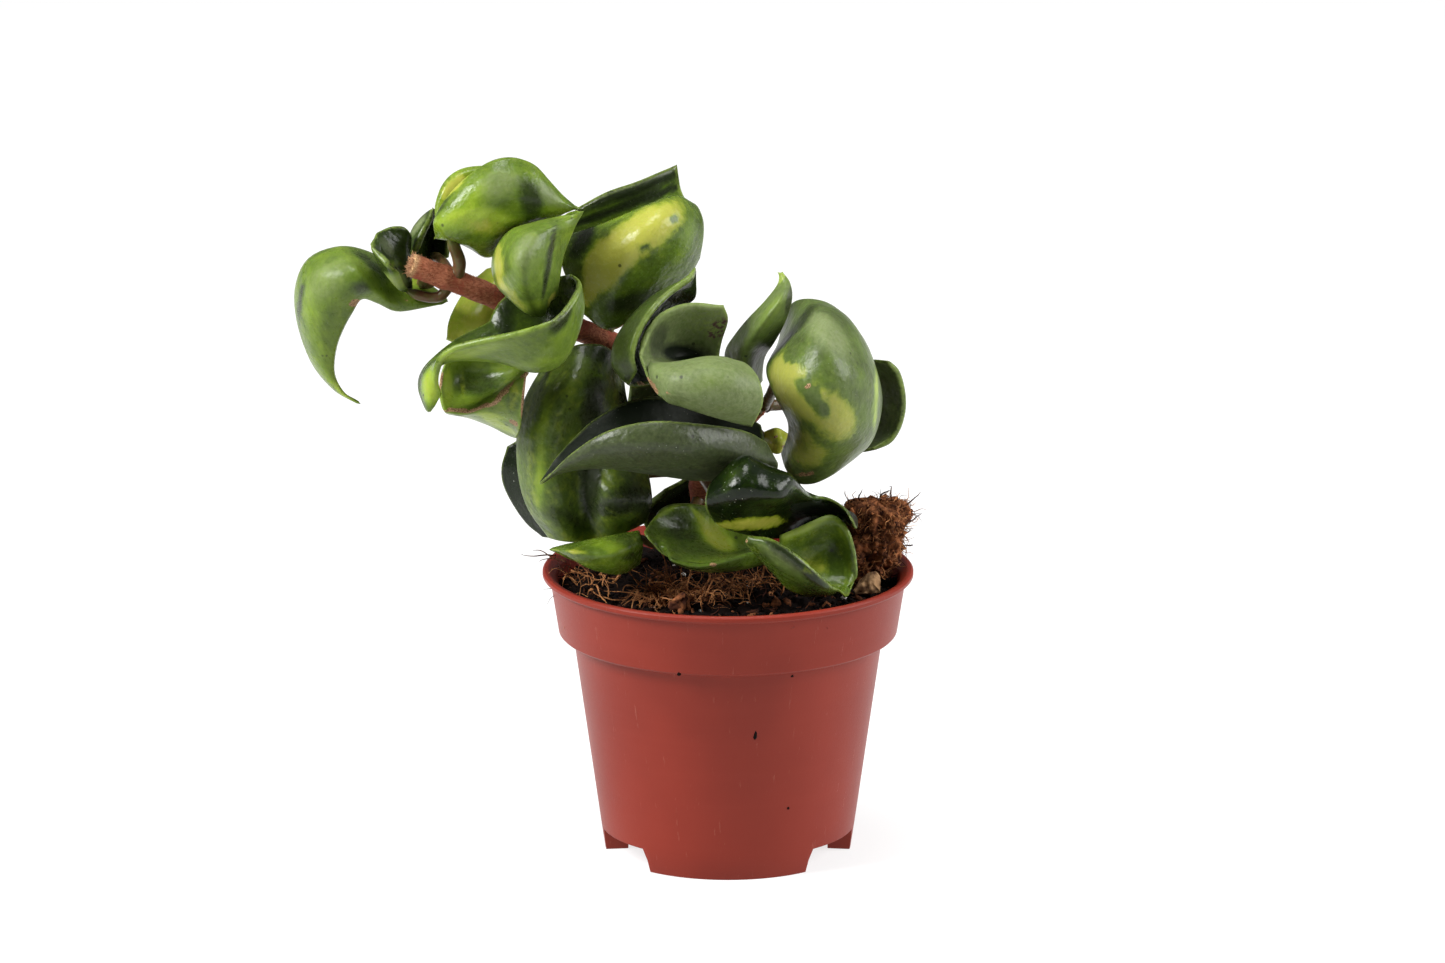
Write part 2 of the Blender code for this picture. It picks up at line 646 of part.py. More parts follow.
def relaxed_blade(grid):
    """The sheet of a leaf and its thickness at each point.

    The blade is thinner at the leaf's ends. Where it curls too tightly for two full faces it is thinned, and
    where the least thickness still isn't enough, its curl is evened out.
    """
    along, across = grid.shape[:2]
    rows = np.arange(along * across) // across
    from_end = np.minimum(rows, along - 1 - rows) / 2
    thickness = LEAF_THICKNESS * np.minimum(1, TIP_THINNING + (1 - TIP_THINNING) * from_end)
    for _ in range(RELAXING_ROUNDS):
        bm = blade_sheet(grid)
        backs = np.array([vert.co for vert in bm.verts])
        inwards = -np.array([vert.normal for vert in bm.verts])
        faces = [[vert.index for vert in face.verts] for face in bm.faces]
        edges = [[vert.index for vert in edge.verts] for edge in bm.edges if edge.is_boundary]
        crossing = crossing_points(backs, backs + inwards * thickness[:, None], faces, edges)
        if not crossing:
            break
        bm.free()
        thinnest = [place for place in crossing if thickness[place] <= LEAF_LEAST * 1.001]
        grid = evened(grid, thinnest)
        thickness[crossing] = np.maximum(LEAF_LEAST, thickness[crossing] * 0.88)
    else:
        bm = blade_sheet(grid)
    return bm, grid, thickness


def build_leaf(name, sketch, collection, helpers, material):
    bm, grid, thickness = relaxed_blade(leaf_grid(sketch))
    mesh = bpy.data.meshes.new(name)
    bm.to_mesh(mesh)
    bm.free()
    mesh.shade_smooth()
    leaf = add_object(name, mesh, collection, material)
    body = leaf.vertex_groups.new(name="thick")
    for index, share in enumerate(thickness / LEAF_THICKNESS):
        body.add([index], float(share), "REPLACE")
    thick = leaf.modifiers.new("Thickness", "SOLIDIFY")
    thick.thickness = LEAF_THICKNESS
    thick.offset = -1
    thick.vertex_group = "thick"
    path = petiole_points(sketch, grid, thickness)
    radius = sketch.get("stalk", PETIOLE_RADIUS)
    tube = tube_mesh(name + "_petiole", path, radius, end_share=PETIOLE_END_SHARE)
    petiole = add_object(name + "_petiole", tube, helpers)
    add_boolean(leaf, as_cutter(petiole), "UNION")
    return leaf


def turned(name, profile, steps, collection, material=None):
    """A solid turned round the pot's axis from (radius, height) points, down the outside first."""
    mesh = bpy.data.meshes.new(name)
    bm = bmesh.new()
    verts = [bm.verts.new((radius, 0, height)) for radius, height in profile]
    for first, second in zip(verts, verts[1:]):
        bm.edges.new((first, second))
    bm.to_mesh(mesh)
    bm.free()
    item = add_object(name, mesh, collection, material)
    item.location = (POT_X, POT_Y, 0)
    screw = item.modifiers.new("Turned", "SCREW")
    screw.steps = steps
    screw.render_steps = steps
    screw.use_merge_vertices = True
    screw.merge_threshold = 0.00001
    screw.use_smooth_shade = True
    return item


def body_radius(height):
    """The pot body's outer radius at a height under the band."""
    share = (height - FOOT_HEIGHT) / (POT_HEIGHT - BAND_HEIGHT - FOOT_HEIGHT)
    return BODY_BOTTOM_RADIUS + (BODY_TOP_RADIUS - BODY_BOTTOM_RADIUS) * share


def inner_radius(height):
    """The radius inside the pot at a height: the body's wall, then the step out, then the band's wall."""
    step = POT_HEIGHT - BAND_HEIGHT
    if height <= step:
        return body_radius(height) - WALL
    share = (height - step) / BAND_HEIGHT
    return BAND_BOTTOM_RADIUS + (BAND_TOP_RADIUS - BAND_BOTTOM_RADIUS) * share - WALL


def pot_profile():
    """From the axis over the floor, up the inside, over the lip, down the outside and in under the floor."""
    step = POT_HEIGHT - BAND_HEIGHT
    floor = FOOT_HEIGHT + WALL
    lip_round = 0.5 * MM
    return [
        (0, floor),
        (inner_radius(floor) - 1 * MM, floor),
        (inner_radius(floor + 1 * MM), floor + 1 * MM),
        (inner_radius(step), step + WALL - 0.2 * MM),
        (BAND_BOTTOM_RADIUS - WALL, step + WALL + 0.2 * MM),
        (inner_radius(POT_HEIGHT - LIP_HEIGHT), POT_HEIGHT - LIP_HEIGHT),
        (RIM_RADIUS - WALL - lip_round, POT_HEIGHT - 0.2 * MM),
        (RIM_RADIUS - WALL, POT_HEIGHT),
        (RIM_RADIUS - lip_round, POT_HEIGHT),
        (RIM_RADIUS, POT_HEIGHT - lip_round),
        (RIM_RADIUS, POT_HEIGHT - LIP_HEIGHT + lip_round),
        (RIM_RADIUS - lip_round, POT_HEIGHT - LIP_HEIGHT),
        (BAND_TOP_RADIUS, POT_HEIGHT - LIP_HEIGHT - 0.2 * MM),
        (BAND_BOTTOM_RADIUS, step + lip_round),
        (BAND_BOTTOM_RADIUS - lip_round, step),
        (BODY_TOP_RADIUS, step),
        (body_radius(FOOT_HEIGHT), FOOT_HEIGHT),
        (FOOT_RADIUS, 0),
        (FOOT_INNER_RADIUS, 0),
        (FOOT_INNER_RADIUS, FOOT_HEIGHT),
        (0, FOOT_HEIGHT),
    ]


def notch_mesh(name, middle):
    """A wedge from the axis outwards that cuts one notch between two feet, wider at its bottom."""
    bm = bmesh.new()
    reach = RIM_RADIUS
    top = FOOT_HEIGHT - 0.3 * MM
    bottom = -2 * MM
    inner = FOOT_INNER_RADIUS - 2 * MM
    corners = []
    for height, half in ((bottom, NOTCH_ANGLE / 2 + NOTCH_SLANT), (top, NOTCH_ANGLE / 2)):
        for angle in (middle - half, middle + half):
            for radius in (inner, reach):
                corners.append(bm.verts.new((radius * math.cos(angle), radius * math.sin(angle), height)))
    bmesh.ops.convex_hull(bm, input=corners)
    return mesh_from_bmesh(name, bm)


def cylinder_mesh(name, radius, low, high, steps=24):
    bm = bmesh.new()
    place = Matrix.Translation((0, 0, (low + high) / 2))
    bmesh.ops.create_cone(
        bm, cap_ends=True, segments=steps, radius1=radius, radius2=radius, depth=high - low, matrix=place
    )
    return mesh_from_bmesh(name, bm)


def build_pot(collection, helpers, material):
    pot = turned("pot", pot_profile(), POT_STEPS, collection, material)
    for index in range(FOOT_COUNT):
        middle = math.radians(-90 + 360 / FOOT_COUNT * (index + 0.5))
        cutter = add_object(f"notch_{index + 1}", notch_mesh(f"notch_{index + 1}", middle), helpers)
        cutter.location = pot.location
        add_boolean(pot, as_cutter(cutter), "DIFFERENCE")
    for index in range(DRAIN_COUNT):
        angle = 2 * math.pi * (index + 0.54) / DRAIN_COUNT
        mesh = cylinder_mesh(f"drain_{index + 1}", DRAIN_RADIUS, FOOT_HEIGHT - MM, FOOT_HEIGHT + WALL + MM, 12)
        cutter = add_object(f"drain_{index + 1}", mesh, helpers)
        cutter.location = (POT_X + DRAIN_RING * math.cos(angle), POT_Y + DRAIN_RING * math.sin(angle), 0)
        add_boolean(pot, as_cutter(cutter), "DIFFERENCE")
    return pot


def flat_share(x, y):
    """1 where a chip rests, so that the soil is flat there, falling to 0 around it."""
    share = 0.0
    for chip in CHIPS.values():
        reach = max(chip["size"][:2]) * 0.75
        distance = math.hypot(x - chip["x"], y - chip["y"])
        share = max(share, min(1.0, max(0.0, 2 - distance / reach)))
    return share


def soil_height(x, y):
    """The soil's uneven top at a place measured from the pot's axis."""
    radius = math.hypot(x, y)
    dish = SOIL_DISH * (radius / RIM_RADIUS) ** 2
    bump = SOIL_BUMP * noise.noise(Vector((x, y, 0)) / (7 * MM))
    bump += 0.45 * SOIL_BUMP * noise.noise(Vector((x, y, 5)) / (3 * MM))
    return SOIL_LEVEL - dish + bump * (1 - flat_share(x, y))


def build_soil(collection, helpers, material):
    top_radius = inner_radius(SOIL_LEVEL - SOIL_DISH) - 2 * GAP
    step = POT_HEIGHT - BAND_HEIGHT
    floor = FOOT_HEIGHT + WALL + GAP
    side = [
        (BAND_BOTTOM_RADIUS - WALL - 2 * GAP, step + WALL + 2 * GAP),
        (inner_radius(step) - GAP, step + WALL + 2 * GAP),
        (inner_radius(floor + MM) - 2 * GAP, floor + MM),
        (inner_radius(floor) - MM - GAP, floor),
    ]
    bm = bmesh.new()
    angles = [2 * math.pi * k / SOIL_STEPS for k in range(SOIL_STEPS)]
    rings = []
    for ring in range(1, SOIL_RINGS + 1):
        radius = top_radius * ring / SOIL_RINGS
        places = [(radius * math.cos(a), radius * math.sin(a)) for a in angles]
        rings.append([bm.verts.new((x, y, soil_height(x, y))) for x, y in places])
    for radius, height in side:
        rings.append([bm.verts.new((radius * math.cos(a), radius * math.sin(a), height)) for a in angles])
    for inner, outer in zip(rings, rings[1:]):
        for k in range(SOIL_STEPS):
            after = (k + 1) % SOIL_STEPS
            bm.faces.new((inner[k], inner[after], outer[after], outer[k]))
    centre = bm.verts.new((0, 0, soil_height(0, 0)))
    bottom = bm.verts.new((0, 0, side[-1][1]))
    for k in range(SOIL_STEPS):
        after = (k + 1) % SOIL_STEPS
        bm.faces.new((centre, rings[0][k], rings[0][after]))
        bm.faces.new((bottom, rings[-1][after], rings[-1][k]))
    soil = add_object("soil", mesh_from_bmesh("soil", bm), collection, material)
    soil.location = (POT_X, POT_Y, 0)
    shade_round(soil.data)
    foot = [sight_point(*point) for point in STEM_PATH[:2]]
    below = foot[0] + (foot[0] - foot[1]).normalized() * 2 * GAP
    above = foot[1] + (foot[1] - foot[0]).normalized() * 4 * MM
    hole = add_object("stem_hole", tube_mesh("stem_hole", [below, above], STEM_RADIUS + 3 * GAP, 3), helpers)
    add_boolean(soil, as_cutter(hole), "DIFFERENCE")
    seat_radius = PLUG_RADIUS * (PLUG_FOOT_SHARE + 0.1) + GAP
    seat = cylinder_mesh("plug_seat", seat_radius, PLUG_BOTTOM[2] - GAP, SOIL_LEVEL + 6 * MM)
    seat = add_object("plug_seat", seat, helpers)
    seat.location = (POT_X + PLUG_BOTTOM[0], POT_Y + PLUG_BOTTOM[1], 0)
    add_boolean(soil, as_cutter(seat), "DIFFERENCE")
    return soil


def build_plug(collection, material):
    """The old plug of coir: a rough, slightly leaning barrel with a flat foot."""
    low = Vector(PLUG_BOTTOM)
    high = Vector(PLUG_TOP)
    bm = bmesh.new()
    rings = []
    for ring in range(PLUG_RINGS):
        rise = ring / (PLUG_RINGS - 1)
        centre = low.lerp(high, rise)
        barrel = PLUG_FOOT_SHARE + (1 - PLUG_FOOT_SHARE) * math.sin(math.pi / 2 * min(1.0, rise * 1.6))
        if ring == PLUG_RINGS - 1:
            barrel = PLUG_CROWN_SHARE
        circle = []
        for k in range(PLUG_STEPS):
            angle = 2 * math.pi * k / PLUG_STEPS
            way = Vector((math.cos(angle), math.sin(angle), 0))
            rough = noise.noise((centre + way * PLUG_RADIUS) / (4 * MM)) * PLUG_ROUGHNESS * min(1.0, rise * 3)
            lift = noise.noise((centre + way * PLUG_RADIUS) / (5 * MM) + Vector((3, 1, 4))) * MM * min(1.0, rise * 2)
            spot = centre + way * (PLUG_RADIUS * barrel + rough)
            circle.append(bm.verts.new((spot.x, spot.y, spot.z + lift * 0.8)))
        rings.append(circle)
    for lower, upper in zip(rings, rings[1:]):
        for k in range(PLUG_STEPS):
            after = (k + 1) % PLUG_STEPS
            bm.faces.new((lower[k], lower[after], upper[after], upper[k]))
    bottom = bm.verts.new(low)
    top = bm.verts.new(high + Vector((0, 0, 1.4 * MM)))
    for k in range(PLUG_STEPS):
        after = (k + 1) % PLUG_STEPS
        bm.faces.new((bottom, rings[0][after], rings[0][k]))
        bm.faces.new((top, rings[-1][k], rings[-1][after]))
    plug = add_object("coir_plug", mesh_from_bmesh("coir_plug", bm), collection, material)
    plug.location = (POT_X, POT_Y, 0)
    shade_round(plug.data, 60)
    return plug


def build_chip(name, chip, collection, material):
    """A flat-bottomed flake of bark that rests on the soil."""
    width, depth, height = chip["size"]
    turn = Matrix.Rotation(chip["turn"], 3, "Z")
    base = soil_height(chip["x"], chip["y"]) + 1.5 * GAP
    bm = bmesh.new()
    for level in range(CHIP_LEVELS + 1):
        rise = level / CHIP_LEVELS
        round_off = math.sqrt(1 - 0.6 * rise**3)
        for k in range(CHIP_STEPS):
            angle = 2 * math.pi * k / CHIP_STEPS
            way = Vector((math.cos(angle), math.sin(angle), rise))
            rough = 1 + 0.22 * noise.noise(way * 1.7 + Vector((chip["seed"], 0, 0)))
            flat = turn @ Vector((way.x * width / 2, way.y * depth / 2, 0)) * rough * round_off
            tilt = 1 + 0.35 * way.x
            bm.verts.new((chip["x"] + flat.x, chip["y"] + flat.y, base + rise * height * tilt * rough))
    bmesh.ops.convex_hull(bm, input=bm.verts[:])
    loose = [vert for vert in bm.verts if not vert.link_faces]
    bmesh.ops.delete(bm, geom=loose, context="VERTS")
    item = add_object(name, mesh_from_bmesh(name, bm), collection, material)
    item.location = (POT_X, POT_Y, 0)
    return item


def build_stem(name, points, radius, roundness, collection, material):
    stem = add_object(name, tube_mesh(name, points, radius, roundness), collection, material)
    shade_round(stem.data)
    return stem


def main():
    clear_scene()
    plant = new_collection("hindu_rope_plant")
    helpers = new_collection("cutters")
    terracotta = make_material("pot_plastic", (0.33, 0.05, 0.03), 0.45)
    soil = make_material("soil", (0.03, 0.012, 0.007), 0.95)
    coir = make_material("coir", (0.19, 0.08, 0.035), 0.95)
    bark = make_material("bark", (0.5, 0.33, 0.19), 0.85)
    stem = make_material("stem", (0.4, 0.11, 0.08), 0.7)
    leaf = make_material("leaf", (0.08, 0.2, 0.035), 0.35)
    build_pot(plant, helpers, terracotta)
    build_soil(plant, helpers, soil)
    build_plug(plant, coir)
    for name, chip in CHIPS.items():
        build_chip(name, chip, plant, bark)
    main_points = spline([sight_point(*point) for point in STEM_PATH], MAIN_STEM_POINTS)
    build_stem("main_stem", main_points, STEM_RADIUS, 2, plant, stem)
    build_stem("side_stem", side_stem_points(), SIDE_STEM_RADIUS, 2, plant, stem)
    for name, sketch in LEAVES.items():
        build_leaf(name, sketch, plant, helpers, leaf)


main()
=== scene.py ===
"""The looks of the hindu rope plant: fine leaves, stems, soil, fibres, pot, light and camera.

The leaves, stems, soil and pot repeat the sketches and sizes of the CAD part, and are only made finer here.
"""

import json
import math

import bmesh
import bpy
import numpy as np
from mathutils import Matrix, Vector, noise
from mathutils.bvhtree import BVHTree

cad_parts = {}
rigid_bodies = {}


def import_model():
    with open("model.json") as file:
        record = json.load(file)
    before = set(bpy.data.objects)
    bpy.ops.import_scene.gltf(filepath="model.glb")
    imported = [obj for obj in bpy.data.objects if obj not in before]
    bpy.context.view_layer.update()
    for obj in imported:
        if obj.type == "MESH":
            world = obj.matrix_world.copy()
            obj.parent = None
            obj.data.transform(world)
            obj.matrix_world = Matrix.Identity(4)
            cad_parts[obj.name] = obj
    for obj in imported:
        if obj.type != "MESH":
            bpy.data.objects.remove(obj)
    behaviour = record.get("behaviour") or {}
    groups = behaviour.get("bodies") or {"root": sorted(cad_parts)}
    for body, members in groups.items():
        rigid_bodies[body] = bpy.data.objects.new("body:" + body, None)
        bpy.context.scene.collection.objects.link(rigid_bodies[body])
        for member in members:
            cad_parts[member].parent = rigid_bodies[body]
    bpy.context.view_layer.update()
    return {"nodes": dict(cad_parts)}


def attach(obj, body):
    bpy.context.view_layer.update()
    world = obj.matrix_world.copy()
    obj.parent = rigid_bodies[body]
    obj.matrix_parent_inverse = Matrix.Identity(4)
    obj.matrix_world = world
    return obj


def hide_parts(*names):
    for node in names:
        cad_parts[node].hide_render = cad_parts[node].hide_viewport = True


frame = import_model()

MM = 0.001

# The picture that the leaves are sketched on
PIXEL = 0.242 * MM
PICTURE_WIDTH = 1445
PICTURE_CENTRE = (722.5, 481.5)
PICTURE_AXIS_X = 728.0
VIEW_TILT = math.radians(14.8)
VIEW_DISTANCE = 2200 * MM
VIEW_AIM_HEIGHT = 91.6 * MM
VIEW_BACK = Vector((0, -math.cos(VIEW_TILT), math.sin(VIEW_TILT)))
VIEW_UP = Vector((0, math.sin(VIEW_TILT), math.cos(VIEW_TILT)))
VIEW_SHIFT = (PICTURE_CENTRE[0] - PICTURE_AXIS_X) * PIXEL
# How many mm before the pot's axis a sight line is followed from
SIGHT_START = 60

# Where the pot's axis stands, so that the whole object's box is centred on the origin
POT_X = 29.25 * MM
AXIS = (POT_X, 0, 0)

# Pot
POT_HEIGHT = 70 * MM
RIM_RADIUS = 45 * MM
LIP_HEIGHT = 1.8 * MM
LIP_ROUND = 0.5 * MM
BAND_TOP_RADIUS = 43.2 * MM
BAND_BOTTOM_RADIUS = 41.1 * MM
BAND_HEIGHT = 15.8 * MM
STEP_HEIGHT = POT_HEIGHT - BAND_HEIGHT
BODY_TOP_RADIUS = 37.7 * MM
BODY_BOTTOM_RADIUS = 30.9 * MM
FOOT_RADIUS = 30.0 * MM
FOOT_INNER_RADIUS = 24.6 * MM
FOOT_HEIGHT = 6 * MM
FOOT_COUNT = 3
WALL = 1.2 * MM
NOTCH_ANGLE = math.radians(36)
NOTCH_SLANT = math.radians(4)
DRAIN_RADIUS = 3 * MM
DRAIN_RING = 16 * MM
DRAIN_COUNT = 6
DRAIN_SIDES = 12
DRAIN_TURN = 0.54
# A small offset that slants or rounds a corner of the profile
TOUCH = 0.2 * MM

# Soil
SOIL_LEVEL = 67.0 * MM
SOIL_BUMP = 1.1 * MM
SOIL_DISH = 1.5 * MM

# Stems
STEM_RADIUS = 2.8 * MM
SIDE_STEM_RADIUS = 1.7 * MM
PETIOLE_RADIUS = 1.35 * MM
PETIOLE_CLEARANCE = 0.5 * MM
PETIOLE_STEP = 2.4 * MM
MAIN_STEM_POINTS = 26
SIDE_STEM_POINTS = 8
STEM_SEARCH_POINTS = 160
STEM_PATH = (
    (705, 592, -17), (705, 570, -17), (705, 550, -16.5), (702, 500, -8), (698, 455, -5), (688, 405, -7),
    (660, 368, -11), (622, 348, -9), (573, 327, -2), (505, 301, 8), (455, 281, 12), (411, 265, 14),
)
SIDE_STEM_PATH = ((722, 440, -8), (744, 424, -10), (762, 406, -11))

# Leaves
LEAF_THICKNESS = 1.7 * MM
LEAF_LEAST = 0.65 * MM
LEAF_ALONG = 12
LEAF_ACROSS = 7
TIP_WIDTH = 1.4 * MM
TIP_THINNING = 0.45
# How far the outermost and the next points of an open end are drawn back, which rounds its corners
CORNER_PULL = (0.55, 0.18)
RELAXING_ROUNDS = 60
EVENING = 0.6
THINNING = 0.88
# Faces of the back and the front that agree less than this share would fold over each other
LEAST_AGREEMENT = 0.1

# How fine the visible meshes are
BLADE_ROWS = 64
BLADE_COLUMNS = 34
EDGE_ROUND = 0.85 * MM
STEM_SIDES = 28
STEM_RINGS = 260
PETIOLE_SIDES = 16
PETIOLE_RINGS = 26
PETIOLE_BUMP_SIZE = 1.5 * MM
POT_STEPS = 192
POT_BEVEL = 0.25 * MM
POT_BEVEL_ANGLE = math.radians(35)
POT_SHARP_ANGLE = math.radians(28)
# Points nearer to each other than this are one point
MERGE_DISTANCE = 0.01 * MM

# Each leaf's sketch. The rails run from one edge to the other across the leaf, each along its length, as
# picture x, picture y and mm before the pot's axis. They lie on the leaf's back, its bulging side. The
# petiole's points lead from a stem to the place on the grid that it joins, as shares of the leaf's length
# and width. A stalk is a petiole's radius where it isn't the usual one.
# "base" and "face" give the lightness, bloom and yellowness of the leaf's back and of its face. Each patch is
# (kind, x, y, length px, width px, turn in degrees, strength), placed on the leaf where the picture shows it.
# Light patches paint paler tones and also painted highlights, dark patches paint darker tones and also
# painted shade in hollows, folds and valleys, and bloom patches paint the waxy bloom and also painted
# highlights.
LEAVES = {}
LEAVES["leaf_far_left"] = dict(
    petiole=((428, 286, 9),), joins=(0.2, 0.5), root=(448, 299, 6), tip=(359, 405, 4),
    base=(0.6, 0.22, 0.2), face=(0.7, 0.2, 0.3),
    rails=(
        ((430, 296, 0), (391, 288, -6), (352, 285, -7), (318, 305, -4), (306, 340, -2), (324, 380, 1)),
        ((431, 287, 1), (391, 270, -4), (352, 256, -6), (306, 284, -5), (299, 328, -3), (319, 376, 1)),
        ((428, 284, 4), (389, 264, 4), (348, 246, 6), (304, 263, 7), (296, 315, 5), (320, 377, 3)),
        ((427, 299, 10), (389, 293, 13), (362, 274, 19), (325, 290, 18), (313, 330, 12), (328, 381, 6)),
        ((434, 307, 10), (394, 313, 11), (366, 300, 14), (353, 317, 13), (338, 347, 10), (337, 383, 6)),
    ),
    patches=(
        ("light", 405, 282, 56, 16, 12, 0.45), ("dark", 368, 262, 40, 12, -40, 0.5),
        ("dark", 300, 300, 60, 6, 80, 0.6), ("scar", 357, 303, 14, 8, 0, 1.7),
        # The bloom patch at 325, 278 is a painted highlight.
        ("light", 345, 392, 30, 10, -50, 0.5), ("bloom_and_highlight", 325, 278, 70, 34, 40, 0.5),
        ("scar", 409, 301, 4, 4, 0, 0.5), ("dark", 360, 290, 16, 24, 60, 0.4),
    ),
)
LEAVES["leaf_small_cup"] = dict(
    petiole=((440, 302, 12.5), (421, 297, 12.5)), joins=(0.08, 0.66), tip=(370, 246, 16), along=9,
    base=(0.27, 0.08, 0.0), face=(0.18, 0.06, 0.0),
    rails=(
        ((413, 240, 4), (402, 227, 6), (386, 229, 8), (374, 238, 11)),
        ((409, 258, 6), (400, 252, 8), (387, 250, 11), (375, 248, 14)),
        ((411, 292, 10), (401, 291, 13), (390, 280, 16), (378, 264, 17)),
        ((401, 273, 18), (395, 270, 20), (387, 266, 21), (378, 256, 19)),
    ),
    patches=(
        ("light", 400, 281, 40, 22, -8, 0.9), ("bloom_and_highlight", 400, 281, 40, 22, -8, 0.9),
        # Painted highlights: on the lower lip at 396, 263 and inside the bowl at 388, 246.
        ("light", 396, 263, 30, 8, 8, 0.3), ("bloom_and_highlight", 388, 246, 22, 12, -50, 0.5),
    ),
)
LEAVES["leaf_dark_curl"] = dict(
    petiole=((446, 262, 4),), joins=(0.15, 0.66), tip=(433, 208, 0), along=9, base=(0.24, 0.08, 0.0),
    face=(0.14, 0.03, 0.0),
    rails=(
        ((415, 256, 6), (417, 246, 6), (423, 230, 5), (430, 216, 3)),
        ((405, 257, 2), (407, 243, 1), (413, 227, 0), (423, 215, 0)),
        ((430, 264, -6), (431, 245, -8), (434, 228, -8), (437, 214, -4)),
        ((449, 262, -4), (452, 246, -5), (452, 230, -5), (446, 216, -2)),
    ),
    patches=(
        # Painted highlights along the rounded rim.
        ("bloom_and_highlight", 418, 226, 30, 7, 55, 0.9), ("light", 425, 240, 40, 5, 60, 0.7),
    ),
)
LEAVES["leaf_top_cap"] = dict(
    petiole=((462, 262, 13.5), (456, 251, 13)), joins=(0.16, 0.56), root=(436, 239, 12), tip=(580, 210, 10),
    along=14, stalk=1.6 * MM, base=(0.54, 0.16, 0.2), face=(0.62, 0.1, 0.4),
    rails=(
        ((433, 218, 16), (456, 184, 16), (493, 158, 15), (530, 160, 13), (560, 191, 11)),
        ((440, 224, 19), (470, 202, 20.5), (504, 190, 20), (540, 192, 17), (564, 202, 14)),
        ((450, 240, 18), (480, 239, 18.5), (509, 228, 16), (545, 218, 14.5), (568, 212, 12)),
        ((462, 240, 8), (486, 256, 3), (512, 240, -1), (540, 222, 0), (563, 211, 6)),
        ((434, 208, 4), (446, 178, 1), (474, 165, -1), (522, 169, 1), (556, 196, 7)),
    ),
    patches=(
        ("yellow", 452, 182, 50, 9, 50, 0.8), ("yellow", 484, 227, 70, 20, -10, 0.5),
        # Painted shade in the valley between the two humps at 531, 200, and painted highlights on the humps
        # at 500, 182 and 551, 196.
        ("light", 468, 224, 90, 26, 0, 0.4), ("dark", 531, 200, 52, 24, -75, 0.55),
        ("light", 500, 214, 70, 14, -20, 0.2), ("bloom_and_highlight", 500, 182, 46, 30, 20, 0.7),
        ("bloom_and_highlight", 551, 196, 30, 16, -40, 0.7), ("dark", 446, 200, 60, 6, 55, 0.3),
        ("light", 470, 200, 60, 20, 45, 0.25), ("light", 548, 214, 50, 12, 5, 0.2),
    ),
)
LEAVES["leaf_front_bulge"] = dict(
    petiole=((521, 286, 11),), joins=(0.3, 0.1), tip=(581, 211, 18), across=8, base=(0.54, 0.3, 0.2),
    face=(0.56, 0.1, 0.3),
    rails=(
        ((519, 303, 21.5), (500, 282, 17.4), (497, 256, 13), (514, 233, 13), (545, 222, 16)),
        ((520, 310, 25), (497, 286, 22), (493, 257, 19), (508, 231, 19), (540, 220, 19)),
        ((534, 318, 26), (520, 285, 33), (516, 258, 34), (527, 235, 30), (550, 222, 23)),
        ((546, 316, 25), (540, 283, 30), (542, 255, 31), (551, 235, 27), (565, 221, 22)),
        ((550, 305, 24), (551, 282, 26), (556, 257, 24), (562, 240, 21), (573, 224, 19)),
        ((558, 303, 22), (561, 281, 21), (565, 256, 19), (572, 238, 17), (579, 222, 18)),
    ),
    patches=(
        ("yellow", 497, 262, 60, 12, -85, 0.85), ("yellow", 512, 296, 50, 10, -45, 0.6),
        # Painted shade along the fold at 549, 262, and a painted highlight on the bulge at 523, 245.
        ("dark", 549, 262, 80, 5, 80, 0.9), ("yellow", 552, 300, 18, 9, 70, 1.0),
        ("light", 535, 306, 30, 14, 0, 0.35), ("bloom_and_highlight", 523, 245, 48, 24, 70, 0.7),
    ),
)
LEAVES["leaf_top_right"] = dict(
    petiole=((612, 318, -9),), joins=(0.3, 0.85), base=(0.46, 0.14, 0.2), face=(0.16, 0.1, 0.0),
    rails=(
        ((568, 213, -12), (605, 194, -11), (635, 183, -13), (660, 172, -13), (680, 163, -11)),
        ((560, 248, -11), (610, 238, -11), (640, 226, -11), (665, 212, -11), (683, 197, -10)),
        ((558, 238, -5), (606, 222, 1), (645, 205, 2), (676, 195, -2), (698, 206, -8)),
        ((560, 270, 0), (612, 268, 10), (648, 248, 12), (681, 232, 6), (706, 229, -5)),
        ((572, 306, -2), (610, 333, 2), (663, 302, -3), (691, 277, -6), (703, 254, -8)),
    ),
    patches=(
        ("yellow", 640, 234, 130, 44, 36, 1.15), ("yellow", 605, 268, 70, 44, 50, 1.1),
        ("yellow", 588, 292, 44, 18, 70, 0.6), ("green", 645, 250, 22, 10, 0, 0.9),
        ("green", 673, 216, 14, 8, 30, 0.9), ("dark", 582, 240, 46, 16, 60, 0.8),
        ("dark", 630, 300, 60, 20, 20, 0.35), ("dark", 630, 205, 150, 8, 20, 0.9),
        ("dark", 630, 180, 150, 26, 20, 0.9), ("light", 686, 240, 60, 18, 70, 0.15),
        ("light", 610, 222, 60, 8, 24, 0.3),
    ),
)
